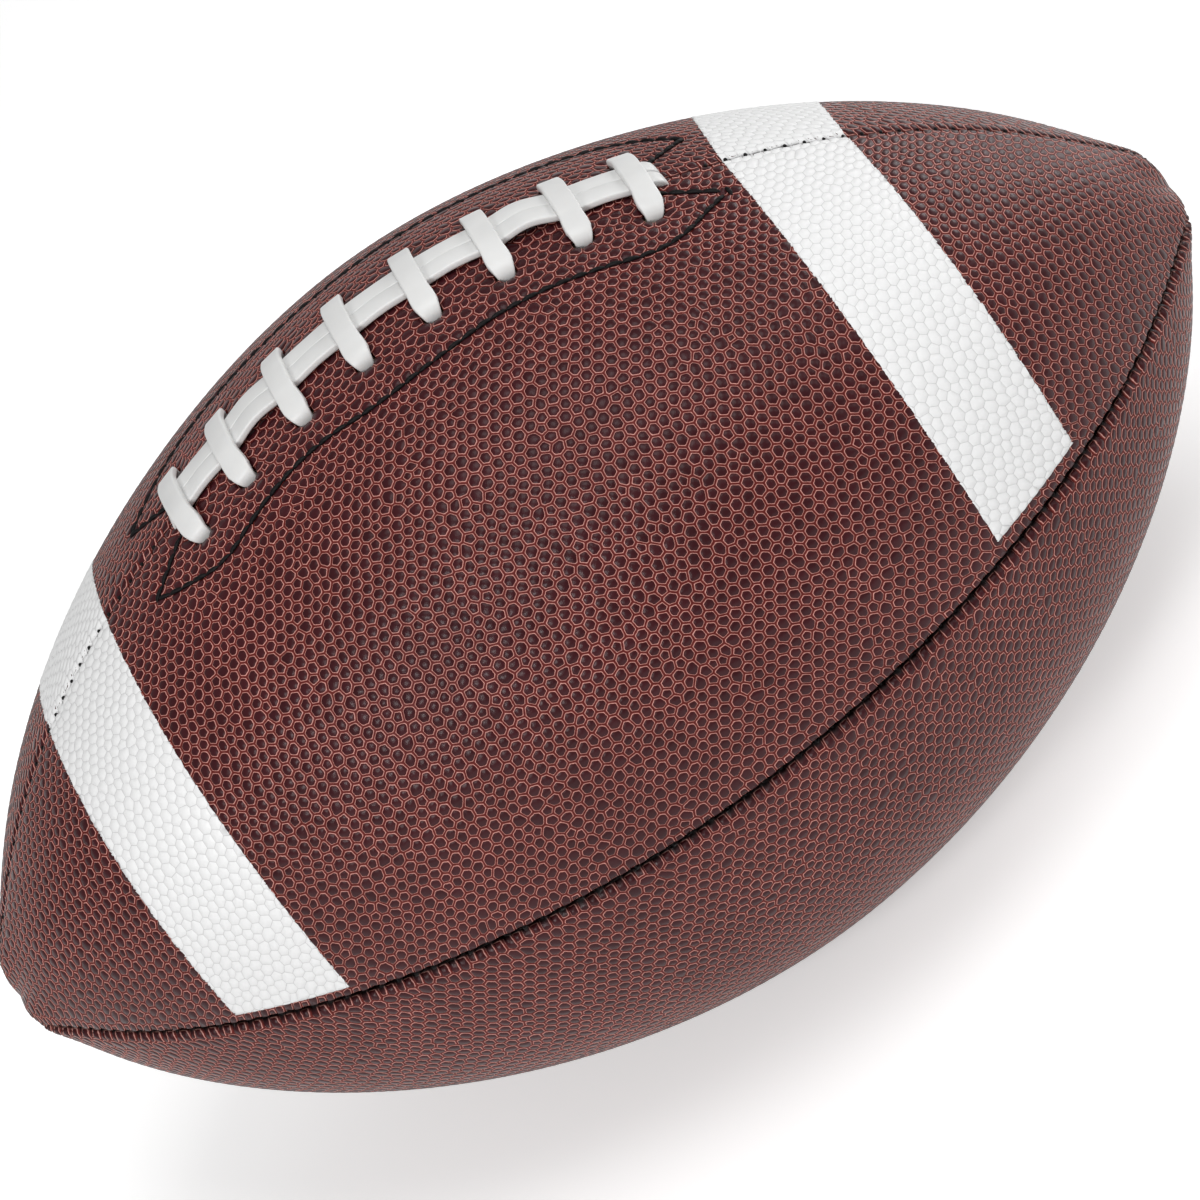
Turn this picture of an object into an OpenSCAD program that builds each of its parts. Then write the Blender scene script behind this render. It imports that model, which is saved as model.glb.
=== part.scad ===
// American football: four sewn panels over linings and a bladder, with one strap lace of eight wraps.
// The ball lies along X with its laces up, and stands on z = 0 on a small flat of its bottom seam.

/* [Ball] */
// Length from tip to tip
ball_length = 290; // [270:1:310]
// Radius of the girth at the middle of a panel
panel_radius = 85.8; // [80:0.1:92]
// How far the seams lie below the middles of the panels at the girth
seam_sink = 3.6; // [1:0.1:5]
// How far the four seams stand out as corners close to a tip
tip_corner = 45; // [20:1:50]
// How far the lacing stretch lifts its seam again
lacing_rise = 2.4; // [0:0.1:3]
// Distance from the middle of the ball at which that lift has faded out
lacing_reach = 62; // [55:1:75]
// Depth of the flat that the ball's weight presses on its bottom seam
rest_flat_depth = 0.5; // [0.3:0.1:0.8]

/* [Panels] */
// Thickness of the composite leather
cover_t = 1.8; // [1.4:0.1:2.4]
// Gap between two panels at a seam
seam_gap = 0.3; // [0.2:0.05:0.5]
// Width over which a panel rolls down to its seam
roll_w = 2.2; // [1.8:0.1:3]
// Depth by which a panel rolls down at its seam
roll_drop = 1.1; // [0.9:0.1:1.4]
// Width of the turned-in edge of a panel
turn_in_w = 1.5; // [1:0.1:2]

/* [Inner layers] */
// Thickness of the lining behind a panel
lining_t = 0.9; // [0.6:0.1:1.2]
// Gap between a lining and its panel
layer_gap = 0.15; // [0.1:0.05:0.3]
// Gap between layers whose flats do not line up
bow_gap = 0.7; // [0.6:0.05:0.9]
// Thickness of a lace facing
facing_t = 0.9; // [0.6:0.1:1.2]
// Width by which a facing reaches past its stitch line
facing_margin = 2.5; // [1.5:0.5:4]
// Thickness of the tongue
tongue_t = 1; // [0.8:0.1:1.5]
// Width of the tongue
tongue_w = 32; // [28:1:36]
// Length of the tongue past each end of the lace slit
tongue_over = 1; // [0:0.5:3]
// Width by which the bladder's hollows reach past the tongue and the valve's flange
hollow_margin = 10; // [9:0.5:12]
// Width over which those hollows fade out
hollow_fade = 20; // [16:1:26]
// Wall of the bladder
bladder_t = 0.8; // [0.6:0.1:1.2]

/* [Stripes] */
// Width of a white stripe, measured along the ball
stripe_w = 23.2; // [20:0.1:27]
// Distance along the ball from the right tip to the right stripe
stripe_right_tip = 51.4; // [45:0.1:56]
// Distance along the ball from the left tip to the left stripe
stripe_left_tip = 42.3; // [40:0.1:52]
// Thickness of the white coating
stripe_t = 0.25; // [0.15:0.05:0.4]
// Leather left bare between a stripe and the roll of the side seam
stripe_edge = 1.8; // [1:0.1:4]

/* [Lace] */
// Width of the lace
lace_w = 4.3; // [3.5:0.1:4.6]
// Thickness of the lace
lace_t = 1.6; // [1.2:0.1:1.8]
// Distance between neighbouring cross wraps
lace_pitch = 15.8; // [14:0.1:16.4]
// Distance of the lace holes from the slit, along the surface
hole_arc = 12.3; // [11:0.1:13.5]
// Play between the lace's edge and its hole
hole_play = 0.4; // [0.2:0.05:0.5]
// Gap between the leather and the lengthwise runs
run_lift = 0.35; // [0.3:0.05:0.6]
// Gap between one stretch of the lace and the next
lace_gap = 0.5; // [0.45:0.05:0.8]
// Distance from the last cross wrap to where the runs go in, at the right
dive_right = 5.4; // [5:0.1:6.5]
// Distance from the first cross wrap to where the runs go in, at the left
dive_left = 2.4; // [2:0.1:4]
// Length of the lace slit past the holes of its two ends
slit_over = 1.6; // [1:0.1:3]
// Length of the loose end of the lace inside
tail = 7; // [5:0.5:9]

/* [Threads] */
// Diameter of the seam and stitching thread
thread_d = 0.6; // [0.4:0.05:0.7]
// Gap between a thread and the leather that it lies on
thread_gap = 0.08; // [0.05:0.01:0.15]
// Half length of a facing's stitch line, to its pointed end
stitch_tip_x = 69; // [66:0.5:72]
// Distance of that pointed end from the slit
stitch_tip_arc = 11; // [9:0.5:13]
// Distance of the stitch line from the slit at the middle of the ball
stitch_mid_arc = 21.4; // [20:0.1:24]
// Distance of the stitch line from the slit at its shoulders
stitch_shoulder_arc = 23.8; // [21:0.1:26]
// Distance from the middle of the ball to those shoulders
stitch_shoulder_x = 46; // [40:1:50]
// Distance from the slit at which the line ends beside the runs
stitch_end_arc = 5.4; // [5.2:0.1:6]

/* [Valve] */
// Angle of the valve from the laces, round the ball
valve_angle = 45; // [40:1:50]
// Radius of the valve's stem
stem_r = 4.2; // [3.8:0.1:5]
// Radius of the valve's flange
flange_r = 10.5; // [9:0.5:12]
// Thickness of the flange
flange_t = 1; // [0.8:0.1:1.3]
// Depth of the stem's end below the leather
stem_depth = 9.5; // [9:0.5:12]
// Depth of the valve's face below the leather
valve_sink = 0.3; // [0.1:0.1:0.8]
// Radius of the valve core
core_r = 2.5; // [2:0.1:3]
// Length of the valve core
core_l = 7; // [6:0.5:8]
// Radius of the needle's passage in the core
needle_r = 0.95; // [0.8:0.05:1.1]
// Radius of the wider passage below the core
guide_r = 1.6; // [1.4:0.1:1.8]
// Play between the core and the stem, and between the stem and the layers round it
valve_play = 0.1; // [0.05:0.05:0.15]

/* [Hidden] */

// Powers of the ball's outline: how full its belly is, and how blunt its tips are
belly_share = 1.93;
blunt_share = 0.681;
// Powers of the seams' corners at the tips: where they start, and how they close
corner_share = 44.3;
corner_end_share = 0.468;
// Power of the hollow beside a seam: the larger it is, the wider the hollow
sink_share = 2.594;
// Shares of the half length at which panels, linings and threads end
panel_end_share = 0.9998;
lining_end_share = 0.965;
thread_end_share = 0.98;
bladder_end_share = 0.992;
// Radius below which the columns beside a seam draw together towards the tip
squeeze_r = 16;

half_length = ball_length / 2;
centre_z = panel_radius - seam_sink - rest_flat_depth;
lining_depth = cover_t + layer_gap;
lining_inner = lining_depth + lining_t;
facing_depth = lining_inner + bow_gap;
facing_inner = facing_depth + facing_t;
inner_run_h = -(facing_inner + lace_gap + layer_gap + lace_t / 2);
tongue_depth = -inner_run_h + lace_t / 2 + bow_gap;
bladder_depth = lining_inner + bow_gap;
tongue_hollow = tongue_depth + tongue_t + 2 * layer_gap - bladder_depth;
valve_hollow = flange_t + bow_gap + layer_gap;
stripe_edge_e = roll_w + stripe_edge;
thread_r = thread_d / 2;
hole_r = lace_w / 2 + hole_play;
overrun = 6;
round_sides = 48;
bore_sides = 32;

// Height of the ball's skin over its long axis

function core(s) = max(1 - pow(abs(s), belly_share), 0);
function middle_r(s) = panel_radius * pow(core(s), blunt_share);
function corner_r(s) = tip_corner * pow(abs(s), corner_share) * pow(core(s), corner_end_share);
function seam_r(s) = middle_r(s) * (1 - seam_sink / panel_radius) + corner_r(s);
function bump(t) = abs(t) >= 1 ? 0 : pow(1 - t * t, 2);
function rise(s, a) = cos(a) > cos(45) ? lacing_rise * bump(s * half_length / lacing_reach) : 0;
function swell(a) = pow(abs(sin(2 * a)), sink_share);
function skin_r(s, a) = middle_r(s) * swell(a) + (seam_r(s) + rise(s, a)) * (1 - swell(a));

// Point on the layer at depth d: s is the share of the half length, a the angle from the laces
function skin(s, a, d) =
    let (r = skin_r(s, a) * (panel_radius - d) / panel_radius)
    [(half_length - d) * s, -r * sin(a), r * cos(a) + centre_z];

// Angle of a place given by its distance along the surface from the lace seam
function arc_angle(s, arc) = arc / skin_r(s, 0) * 180 / PI;
function at_arc(x, arc, h) = skin(x / half_length, arc_angle(x / half_length, arc), -h);

// Directions on the skin: along the ball, round it, and outwards
function unit(v) = v / norm(v);
function ahead(x, arc) = unit(at_arc(x + thread_d, arc, 0) - at_arc(x - thread_d, arc, 0));
function aside(x, arc) = unit(at_arc(x, arc + thread_d, 0) - at_arc(x, arc - thread_d, 0));
function outward(x, arc) = unit(cross(aside(x, arc), ahead(x, arc)));

// Stations along the ball. The stripes' edges are among them.

tip_steps = 6;
tip_crowd_share = 2.2;
stripe_steps = 2;
middle_steps = 8;
right_out = 1 - stripe_right_tip / half_length;
right_in = right_out - stripe_w / half_length;
left_out = stripe_left_tip / half_length - 1;
left_in = left_out + stripe_w / half_length;

function tip_stations(from, to) =
    [for (i = [1:tip_steps]) from + (to - from) * (1 - pow(1 - i / tip_steps, tip_crowd_share))];
function reversed(list) = [for (i = [len(list) - 1:-1:0]) list[i]];
function between(from, to, steps) = [for (i = [1:steps]) from + (to - from) * i / steps];
stations = concat(
    reversed(tip_stations(left_out, -panel_end_share)),
    [left_out],
    between(left_out, left_in, stripe_steps),
    between(left_in, right_in, middle_steps),
    between(right_in, right_out, stripe_steps),
    tip_stations(right_out, panel_end_share)
);
function within(list, from, to) = [for (s = list) if (s > from && s < to) s];

// Columns across a panel. The first ones lie at set distances from the seam's plane.

middle_columns = 7;
function squeeze(s) = min(1, seam_r(s) / squeeze_r);
function edge_angle(s, e) = asin((seam_gap / 2 + (e - seam_gap / 2) * squeeze(s)) / seam_r(s));
function roll(e) = e < roll_w ? roll_drop * pow(1 - e / roll_w, 2) : 0;
outer_edges = [seam_gap / 2, roll_w / 2, roll_w, stripe_edge_e];
turn_e = seam_gap / 2 + turn_in_w;
inner_edges = [seam_gap / 2, turn_e, turn_e, stripe_edge_e];
inner_depths = [lining_inner, lining_inner, cover_t, cover_t];

function middle_angles(s) =
    let (first = edge_angle(s, stripe_edge_e))
    [for (i = [1:middle_columns]) first + (90 - 2 * first) * i / (middle_columns + 1)];
function column_angles(s, edges) =
    let (side = [for (e = edges) edge_angle(s, e)])
    concat(side, middle_angles(s), reversed([for (a = side) 90 - a]));
function column_depths(side, middle) =
    concat(side, [for (i = [1:middle_columns]) middle], reversed(side));
function layer(list, turn, edges, depths) =
    [for (s = list)
        let (angles = column_angles(s, edges))
        [for (j = [0:len(angles) - 1]) skin(s, turn + angles[j], depths[j])]];

// Solid between an outer and an inner sheet of points that have the same rows and columns
module slab(outer, inner) {
    n = len(outer);
    m = len(outer[0]);
    under = n * m;
    quads = concat(
        [for (i = [0:n - 2], j = [0:m - 2])
            [i * m + j, (i + 1) * m + j, (i + 1) * m + j + 1, i * m + j + 1]],
        [for (i = [0:n - 2], j = [0:m - 2])
            [under + i * m + j, under + i * m + j + 1,
             under + (i + 1) * m + j + 1, under + (i + 1) * m + j]],
        [for (i = [0:n - 2])
            [(i + 1) * m, i * m, under + i * m, under + (i + 1) * m]],
        [for (i = [0:n - 2])
            [i * m + m - 1, (i + 1) * m + m - 1,
             under + (i + 1) * m + m - 1, under + i * m + m - 1]],
        [for (j = [0:m - 2]) [j, j + 1, under + j + 1, under + j]],
        [for (j = [0:m - 2])
            [(n - 1) * m + j + 1, (n - 1) * m + j,
             under + (n - 1) * m + j, under + (n - 1) * m + j + 1]]
    );
    polyhedron(
        points = [for (row = outer) each row, for (row = inner) each row],
        faces = [for (q = quads) each [[q[0], q[1], q[2]], [q[0], q[2], q[3]]]],
        convexity = 6
    );
}

// Solid through closed rings of points, closed flat at both ends
module loft(rings) {
    n = len(rings);
    m = len(rings[0]);
    last = (n - 1) * m;
    polyhedron(
        points = [for (ring = rings) each ring],
        faces = concat(
            [for (i = [0:n - 2], j = [0:m - 1])
                let (k = (j + 1) % m)
                each [[i * m + j, (i + 1) * m + j, (i + 1) * m + k],
                      [i * m + j, (i + 1) * m + k, i * m + k]]],
            [for (j = [1:m - 2]) [0, j, j + 1]],
            [for (j = [1:m - 2]) [last, last + j + 1, last + j]]
        ),
        convexity = 8
    );
}

// Rings of a strap or thread along a path. Each step is [place, direction of its width].
function direction(steps, i) =
    unit(steps[min(i + 1, len(steps) - 1)][0] - steps[max(i - 1, 0)][0]);
function ring(step, along, section) =
    let (
        across = unit(step[1] - along * (step[1] * along)),
        up = cross(along, across)
    )
    [for (p = section) step[0] + across * p[0] + up * p[1]];
function rings_along(steps, section) =
    [for (i = [0:len(steps) - 1]) ring(steps[i], direction(steps, i), section)];
function round_section(r, sides) =
    [for (i = [0:sides - 1]) r * [cos(360 / sides * i), sin(360 / sides * i)]];

// Panels

module cover_panel(turn) {
    slab(
        layer(stations, turn, outer_edges, column_depths([for (e = outer_edges) roll(e)], 0)),
        layer(stations, turn, inner_edges, column_depths(inner_depths, cover_t))
    );
}

module floor_cut() {
    translate([-half_length, -panel_radius, -overrun])
        cube([ball_length, 2 * panel_radius, overrun]);
}

// A hole square to the skin, at a distance along the surface from the lace seam
module skin_hole(x, arc, r) {
    out = outward(x, arc);
    translate(at_arc(x, arc, 0))
        rotate([0, acos(out[2]), atan2(out[1], out[0])])
            cylinder(r = r, h = 2 * overrun, center = true, $fn = bore_sides);
}

wraps = 8;
function wrap_x(i) = (i - (wraps - 1) / 2) * lace_pitch;
run_arc = (lace_w + lace_gap) / 2;
right_end_x = wrap_x(wraps - 1) + dive_right;
left_end_x = wrap_x(0) - dive_left;

// Lace holes and the two places where the runs go in, on one side of the slit
module lace_holes(side) {
    for (i = [0:wraps - 1]) skin_hole(wrap_x(i), side * hole_arc, hole_r);
    skin_hole(right_end_x, side * run_arc, hole_r + hole_play);
    skin_hole(left_end_x, side * run_arc, hole_r + hole_play);
}

module valve_place() {
    translate([0, 0, centre_z])
        rotate([-valve_angle, 0, 0])
            translate([0, 0, skin_r(0, valve_angle)])
                children();
}

module valve_hole() {
    valve_place()
        cylinder(r = stem_r + valve_play, h = 4 * overrun, center = true, $fn = round_sides);
}

module panel_top_near() {
    color("#6b3a35")
        difference() {
            cover_panel(0);
            lace_holes(1);
        }
}

module panel_top_far() {
    color("#633631")
        difference() {
            cover_panel(270);
            lace_holes(-1);
            valve_hole();
        }
}

module panel_bottom_near() {
    color("#643730")
        difference() {
            cover_panel(90);
            floor_cut();
        }
}

module panel_bottom_far() {
    color("#5c322c")
        difference() {
            cover_panel(180);
            floor_cut();
        }
}

// Linings

module lining(turn) {
    list = within(stations, -lining_end_share, lining_end_share);
    edges = [turn_e + layer_gap];
    slab(
        layer(list, turn, edges, column_depths([lining_depth], lining_depth)),
        layer(list, turn, edges, column_depths([lining_inner], lining_inner))
    );
}

module lining_top_near() {
    color("#cfc4a8")
        difference() {
            lining(0);
            lace_holes(1);
        }
}

module lining_top_far() {
    color("#cabfa3")
        difference() {
            lining(270);
            lace_holes(-1);
            valve_hole();
        }
}

module lining_bottom_near() {
    color("#c6ba9e") lining(90);
}

module lining_bottom_far() {
    color("#c1b599") lining(180);
}

// White stripes: a coating on the panel's own flats, from the roll of the lace seam to the side seam

module stripe(from, to, near) {
    list = concat([from], between(from, to, stripe_steps));
    turn = near ? 0 : 270;
    edges = outer_edges;
    count = 2 * len(edges) + middle_columns;
    first = near ? 1 : len(edges) - 1;
    last = near ? count - len(edges) : count - 2;
    depths = column_depths([for (e = edges) roll(e)], 0);
    skin_rows = layer(list, turn, edges, depths);
    coat_rows = layer(list, turn, edges, [for (d = depths) d - stripe_t]);
    color("#e9e8e6")
        slab(
            [for (row = coat_rows) [for (j = [first:last]) row[j]]],
            [for (row = skin_rows) [for (j = [first:last]) row[j]]]
        );
}

module stripe_near_right() {
    stripe(right_in, right_out, true);
}

module stripe_near_left() {
    stripe(left_out, left_in, true);
}

module stripe_far_right() {
    stripe(right_in, right_out, false);
}

module stripe_far_left() {
    stripe(left_out, left_in, false);
}

// Seam threads lie in the groove between two rolled edges

thread_slope = (roll(seam_gap / 2) - roll(roll_w / 2)) / (roll_w / 2 - seam_gap / 2);
thread_depth = roll(seam_gap / 2) + thread_slope * seam_gap / 2
    - (thread_r + thread_gap) * sqrt(1 + thread_slope * thread_slope);
thread_sides = 6;

module seam_thread(list, angle) {
    steps = [for (s = list) [skin(s, angle, thread_depth), [0, cos(angle), sin(angle)]]];
    color("#1d1a1c") loft(rings_along(steps, round_section(thread_r, thread_sides)));
}

slit_right = (right_end_x + hole_r + hole_play + slit_over) / half_length;
slit_left = (left_end_x - hole_r - hole_play - slit_over) / half_length;

module seam_thread_top() {
    seam_thread(concat([slit_right], within(stations, slit_right, thread_end_share)), 0);
    seam_thread(concat(within(stations, -thread_end_share, slit_left), [slit_left]), 0);
}

module seam_thread_near() {
    seam_thread(within(stations, -thread_end_share, thread_end_share), 90);
}

module seam_thread_far() {
    seam_thread(within(stations, -thread_end_share, thread_end_share), 270);
}

module seam_thread_bottom() {
    seam_thread(within(stations, -thread_end_share, thread_end_share), 180);
}

// Outline of a facing's stitch line

stitch_end_x = right_end_x + thread_d;
shoulder_share = 1.7;
function smooth(t) = t * t * (3 - 2 * t);
function stitch_outer(x) =
    abs(x) < stitch_shoulder_x
        ? stitch_mid_arc + (stitch_shoulder_arc - stitch_mid_arc) * smooth(abs(x) / stitch_shoulder_x)
        : stitch_tip_arc + (stitch_shoulder_arc - stitch_tip_arc)
            * (1 - pow((abs(x) - stitch_shoulder_x) / (stitch_tip_x - stitch_shoulder_x), shoulder_share));
function stitch_inner(x) =
    stitch_end_arc + (stitch_tip_arc - stitch_end_arc)
        * max(0, (abs(x) - stitch_end_x) / (stitch_tip_x - stitch_end_x));

facing_steps = 14;
facing_columns = 4;
function facing_sheet(side, d) =
    [for (i = [0:facing_steps])
        let (
            x = stitch_tip_x * (2 * i / facing_steps - 1),
            low = seam_gap + stitch_inner(x) - stitch_end_arc,
            high = stitch_outer(x) + facing_margin
        )
        [for (j = [0:facing_columns])
            let (share = side > 0 ? j / facing_columns : 1 - j / facing_columns)
            at_arc(x, side * (low + (high - low) * share), -d)]];

module facing(side) {
    slab(facing_sheet(side, facing_depth), facing_sheet(side, facing_inner));
}

module facing_near() {
    color("#3a3432")
        difference() {
            facing(1);
            lace_holes(1);
        }
}

module facing_far() {
    color("#3f3936")
        difference() {
            facing(-1);
            lace_holes(-1);
        }
}

stitch_steps = 26;
stitch_sides = 4;
function stitch_place(x, arc, side) =
    [at_arc(x, side * arc, thread_r + thread_gap), outward(x, side * arc)];

module facing_stitch(side) {
    outer = [for (i = [0:stitch_steps])
        let (x = stitch_tip_x * sin(90 * (2 * i / stitch_steps - 1)))
        stitch_place(x, stitch_outer(x), side)];
    middle_x = (stitch_end_x + stitch_tip_x) / 2;
    steps = concat(
        [stitch_place(-stitch_end_x, stitch_end_arc, side)],
        [stitch_place(-middle_x, stitch_inner(middle_x), side)],
        outer,
        [stitch_place(middle_x, stitch_inner(middle_x), side)],
        [stitch_place(stitch_end_x, stitch_end_arc, side)]
    );
    color("#1d1a1c") loft(rings_along(steps, round_section(thread_r, stitch_sides)));
}

module facing_stitch_near() {
    facing_stitch(1);
}

module facing_stitch_far() {
    facing_stitch(-1);
}

// Lace: one strap. It comes up at the left, runs to the right, turns inside, runs back, goes in,
// and then wraps eight times across both runs, each wrap joined to the next by a slanting inner run.

edge_share = 0.62;
lace_section = [
    [lace_w / 2, 0],
    [edge_share * lace_w / 2, lace_t / 2],
    [-edge_share * lace_w / 2, lace_t / 2],
    [-lace_w / 2, 0],
    [-edge_share * lace_w / 2, -lace_t / 2],
    [edge_share * lace_w / 2, -lace_t / 2],
];
run_h = run_lift + lace_t / 2;
wrap_h = run_h + lace_t + lace_gap;
hole_top_h = -lace_t / 3;
hole_low_h = -facing_inner;
function mix(a, b, t) = a * (1 - t) + b * t;

// Step of the strap's path: its width lies at an angle to the ball's length, in the skin's plane
function lace_step(x, arc, h, angle) =
    [at_arc(x, arc, h), ahead(x, arc) * cos(angle) + aside(x, arc) * sin(angle)];

// Rounded arch: cosine and sine raised to a power under one, the smaller the squarer
over_share = 0.72;
under_share = 0.55;
function arch_cos(t, share) = sign(cos(t)) * pow(abs(cos(t)), share);
function arch_sin(t, share) = pow(max(sin(t), 0), share);

arch_steps = 10;
function wrap_over(i) =
    [for (k = [0:arch_steps])
        let (t = 180 * k / arch_steps)
        lace_step(wrap_x(i), hole_arc * arch_cos(t, over_share),
            mix(hole_top_h, wrap_h, arch_sin(t, over_share)), 0)];

under_steps = 9;
under_slant = -atan(lace_pitch / (2 * hole_arc));
function wrap_under(i) =
    [for (k = [0:under_steps])
        let (t = 180 * k / under_steps, side = -arch_cos(t, under_share))
        lace_step(wrap_x(i) + lace_pitch * (side + 1) / 2, hole_arc * side,
            mix(hole_low_h, inner_run_h, arch_sin(t, under_share)), under_slant * sin(t))];

// A run's way in or out: over the edge, down through the slit, and turned a quarter as it goes
dive_r = lace_t;
dive_shares = [0.4, 0.8];
dive_turns = [60, 25];
function dive(x, outwards, arc) = [
    lace_step(x - outwards * (dive_r + lace_t / 2), arc, run_h, 90),
    lace_step(x - outwards * dive_r / 2, arc, run_h - dive_r / 4, 90),
    lace_step(x, arc, run_h - dive_r, 90),
    lace_step(x, arc, mix(run_h - dive_r, hole_low_h, dive_shares[0]), dive_turns[0]),
    lace_step(x, arc, mix(run_h - dive_r, hole_low_h, dive_shares[1]), dive_turns[1]),
];

run_steps = 10;
function run(from, to, arc) =
    [for (i = [1:run_steps - 1]) lace_step(mix(from, to, i / run_steps), arc, run_h, 90)];

turn_steps = 6;
function right_turn() =
    [for (k = [0:turn_steps])
        let (t = 180 * k / turn_steps)
        lace_step(right_end_x, run_arc * arch_cos(t, under_share),
            mix(hole_low_h, inner_run_h, arch_sin(t, under_share)), 0)];

run_left_x = left_end_x + dive_r + lace_t / 2;
run_right_x = right_end_x - dive_r - lace_t / 2;
// The way inside from the left dive to the first near hole passes outside the strap's other end
pass_x = left_end_x - (lace_w + lace_t) / 2 - 2 * lace_gap;
pass_shares = [0.7, 0.5, 0.85];
pass_arc_share = 0.8;
rise_shares = [0.3, 0.6];
lead_in = [
    lace_step(left_end_x - lace_t / 2, -run_arc, (hole_low_h + inner_run_h) / 2, 0),
    lace_step(mix(left_end_x, pass_x, pass_shares[0]), -run_arc * pass_arc_share, inner_run_h, 0),
    lace_step(pass_x, run_arc / 3, inner_run_h, 0),
    lace_step(pass_x, run_arc + lace_t / 2, inner_run_h, 0),
    lace_step(mix(pass_x, wrap_x(0), pass_shares[1]), (run_arc + hole_arc) / 2, inner_run_h, 0),
    lace_step(mix(pass_x, wrap_x(0), pass_shares[2]), hole_arc - lace_t / 2,
        mix(inner_run_h, hole_low_h, rise_shares[0]), 0),
];
lead_out = [
    lace_step(wrap_x(wraps - 1), -hole_arc, hole_low_h, 0),
    lace_step(wrap_x(wraps - 1), -hole_arc + lace_t / 4,
        mix(hole_low_h, inner_run_h, rise_shares[1]), 0),
    lace_step(wrap_x(wraps - 1), -hole_arc + lace_t, inner_run_h, 0),
    lace_step(wrap_x(wraps - 1), -hole_arc + lace_t + tail / 2, inner_run_h, 0),
    lace_step(wrap_x(wraps - 1), -hole_arc + lace_t + tail, inner_run_h, 0),
];
lace_steps = concat(
    [lace_step(left_end_x, run_arc, hole_low_h - lace_t / 2, 0)],
    reversed(dive(left_end_x, -1, run_arc)),
    run(run_left_x, run_right_x, run_arc),
    dive(right_end_x, 1, run_arc),
    right_turn(),
    reversed(dive(right_end_x, 1, -run_arc)),
    run(run_right_x, run_left_x, -run_arc),
    dive(left_end_x, -1, -run_arc),
    lead_in,
    [for (i = [0:wraps - 1]) each concat(
        [lace_step(wrap_x(i), hole_arc, hole_low_h, 0)],
        wrap_over(i),
        i < wraps - 1 ? [for (k = [0:under_steps - 1]) wrap_under(i)[k]] : []
    )],
    lead_out
);
lace_rings = rings_along(lace_steps, lace_section);

// Least gap of the lace to itself, between the points of rings that are well apart along it
near_rings = 8;
function ring_gap(p, q) = min([for (a = p, b = q) norm(a - b)]);
function lace_self_gap() =
    min([for (i = [0:len(lace_rings) - 1], j = [i + near_rings:1:len(lace_rings) - 1])
        if (norm(lace_steps[i][0] - lace_steps[j][0]) < 2 * lace_w)
            ring_gap(lace_rings[i], lace_rings[j])]);
function path_length(steps, i = 1) =
    i >= len(steps) ? 0 : norm(steps[i][0] - steps[i - 1][0]) + path_length(steps, i + 1);

module lace() {
    echo(lace_least_gap = lace_self_gap(), lace_length = path_length(lace_steps), rings = len(lace_rings));
    color("#f1f0ef") loft(lace_rings);
}

// Tongue between the lace's inner runs and the bladder

tongue_steps = 9;
tongue_columns = 6;
function tongue_sheet(d) =
    [for (i = [0:tongue_steps])
        let (
            from = slit_left * half_length - tongue_over,
            x = mix(from, slit_right * half_length + tongue_over, i / tongue_steps)
        )
        [for (j = [0:tongue_columns])
            at_arc(x, tongue_w * (j / tongue_columns - 1 / 2), -d)]];

module tongue() {
    color("#2b2a2c") slab(tongue_sheet(tongue_depth), tongue_sheet(tongue_depth + tongue_t));
}

// Bladder: follows the linings, and yields under the tongue and under the valve's flange

bladder_stations = 18;
bladder_columns = 32;
function plateau(from, full) =
    from <= full ? 1 : from >= full + hollow_fade ? 0 : smooth(1 - (from - full) / hollow_fade);
function wrap_angle(a) = a > 180 ? a - 360 : a;
function arc_length(s, a) = abs(a) * PI / 180 * skin_r(s, 0);
function tongue_dent(s, a) =
    plateau(abs(s) * half_length, slit_right * half_length + hollow_margin)
        * plateau(arc_length(s, wrap_angle(a)), tongue_w / 2 + hollow_margin) * tongue_hollow;
function flange_dent(s, a) =
    plateau(norm([s * half_length, arc_length(s, wrap_angle(a) + valve_angle)]), flange_r + hollow_margin)
        * valve_hollow;
function bladder_point(s, a, d) =
    skin(s, a, bladder_depth + d + max(tongue_dent(s, a), flange_dent(s, a)));
function bladder_rings(d) =
    [for (i = [0:bladder_stations])
        let (s = bladder_end_share * sin(90 * (2 * i / bladder_stations - 1)))
        [for (j = [0:bladder_columns - 1]) bladder_point(s, 360 * j / bladder_columns, d)]];

module bladder() {
    color("#3b3a3d")
        difference() {
            loft(bladder_rings(0));
            loft(bladder_rings(bladder_t));
            valve_hole();
        }
}

// Valve, drawn with its axis outwards from the leather's surface

flange_top = -lining_inner - bow_gap - layer_gap;
flange_fall = flange_r * flange_r / (2 * panel_radius) + bow_gap;

module valve_body() {
    color("#232224")
        valve_place()
            difference() {
                rotate_extrude($fn = round_sides)
                    polygon([
                        [0, -valve_sink],
                        [stem_r - valve_sink, -valve_sink],
                        [stem_r, -2 * valve_sink],
                        [stem_r, flange_top],
                        [flange_r, flange_top - flange_fall],
                        [flange_r, flange_top - flange_fall - flange_t / 2],
                        [stem_r, flange_top - flange_t],
                        [stem_r, -stem_depth],
                        [0, -stem_depth],
                    ]);
                translate([0, 0, -valve_sink - core_l])
                    cylinder(r = core_r + valve_play / 2, h = core_l + overrun, $fn = round_sides);
                translate([0, 0, -stem_depth - overrun])
                    cylinder(r = guide_r, h = stem_depth + overrun, $fn = bore_sides);
            }
}

module valve_core() {
    color("#111113")
        valve_place()
            difference() {
                translate([0, 0, -valve_sink - core_l])
                    cylinder(r = core_r, h = core_l, $fn = round_sides);
                translate([0, 0, -valve_sink - core_l - overrun])
                    cylinder(r = needle_r, h = core_l + 2 * overrun, $fn = bore_sides);
            }
}

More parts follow.
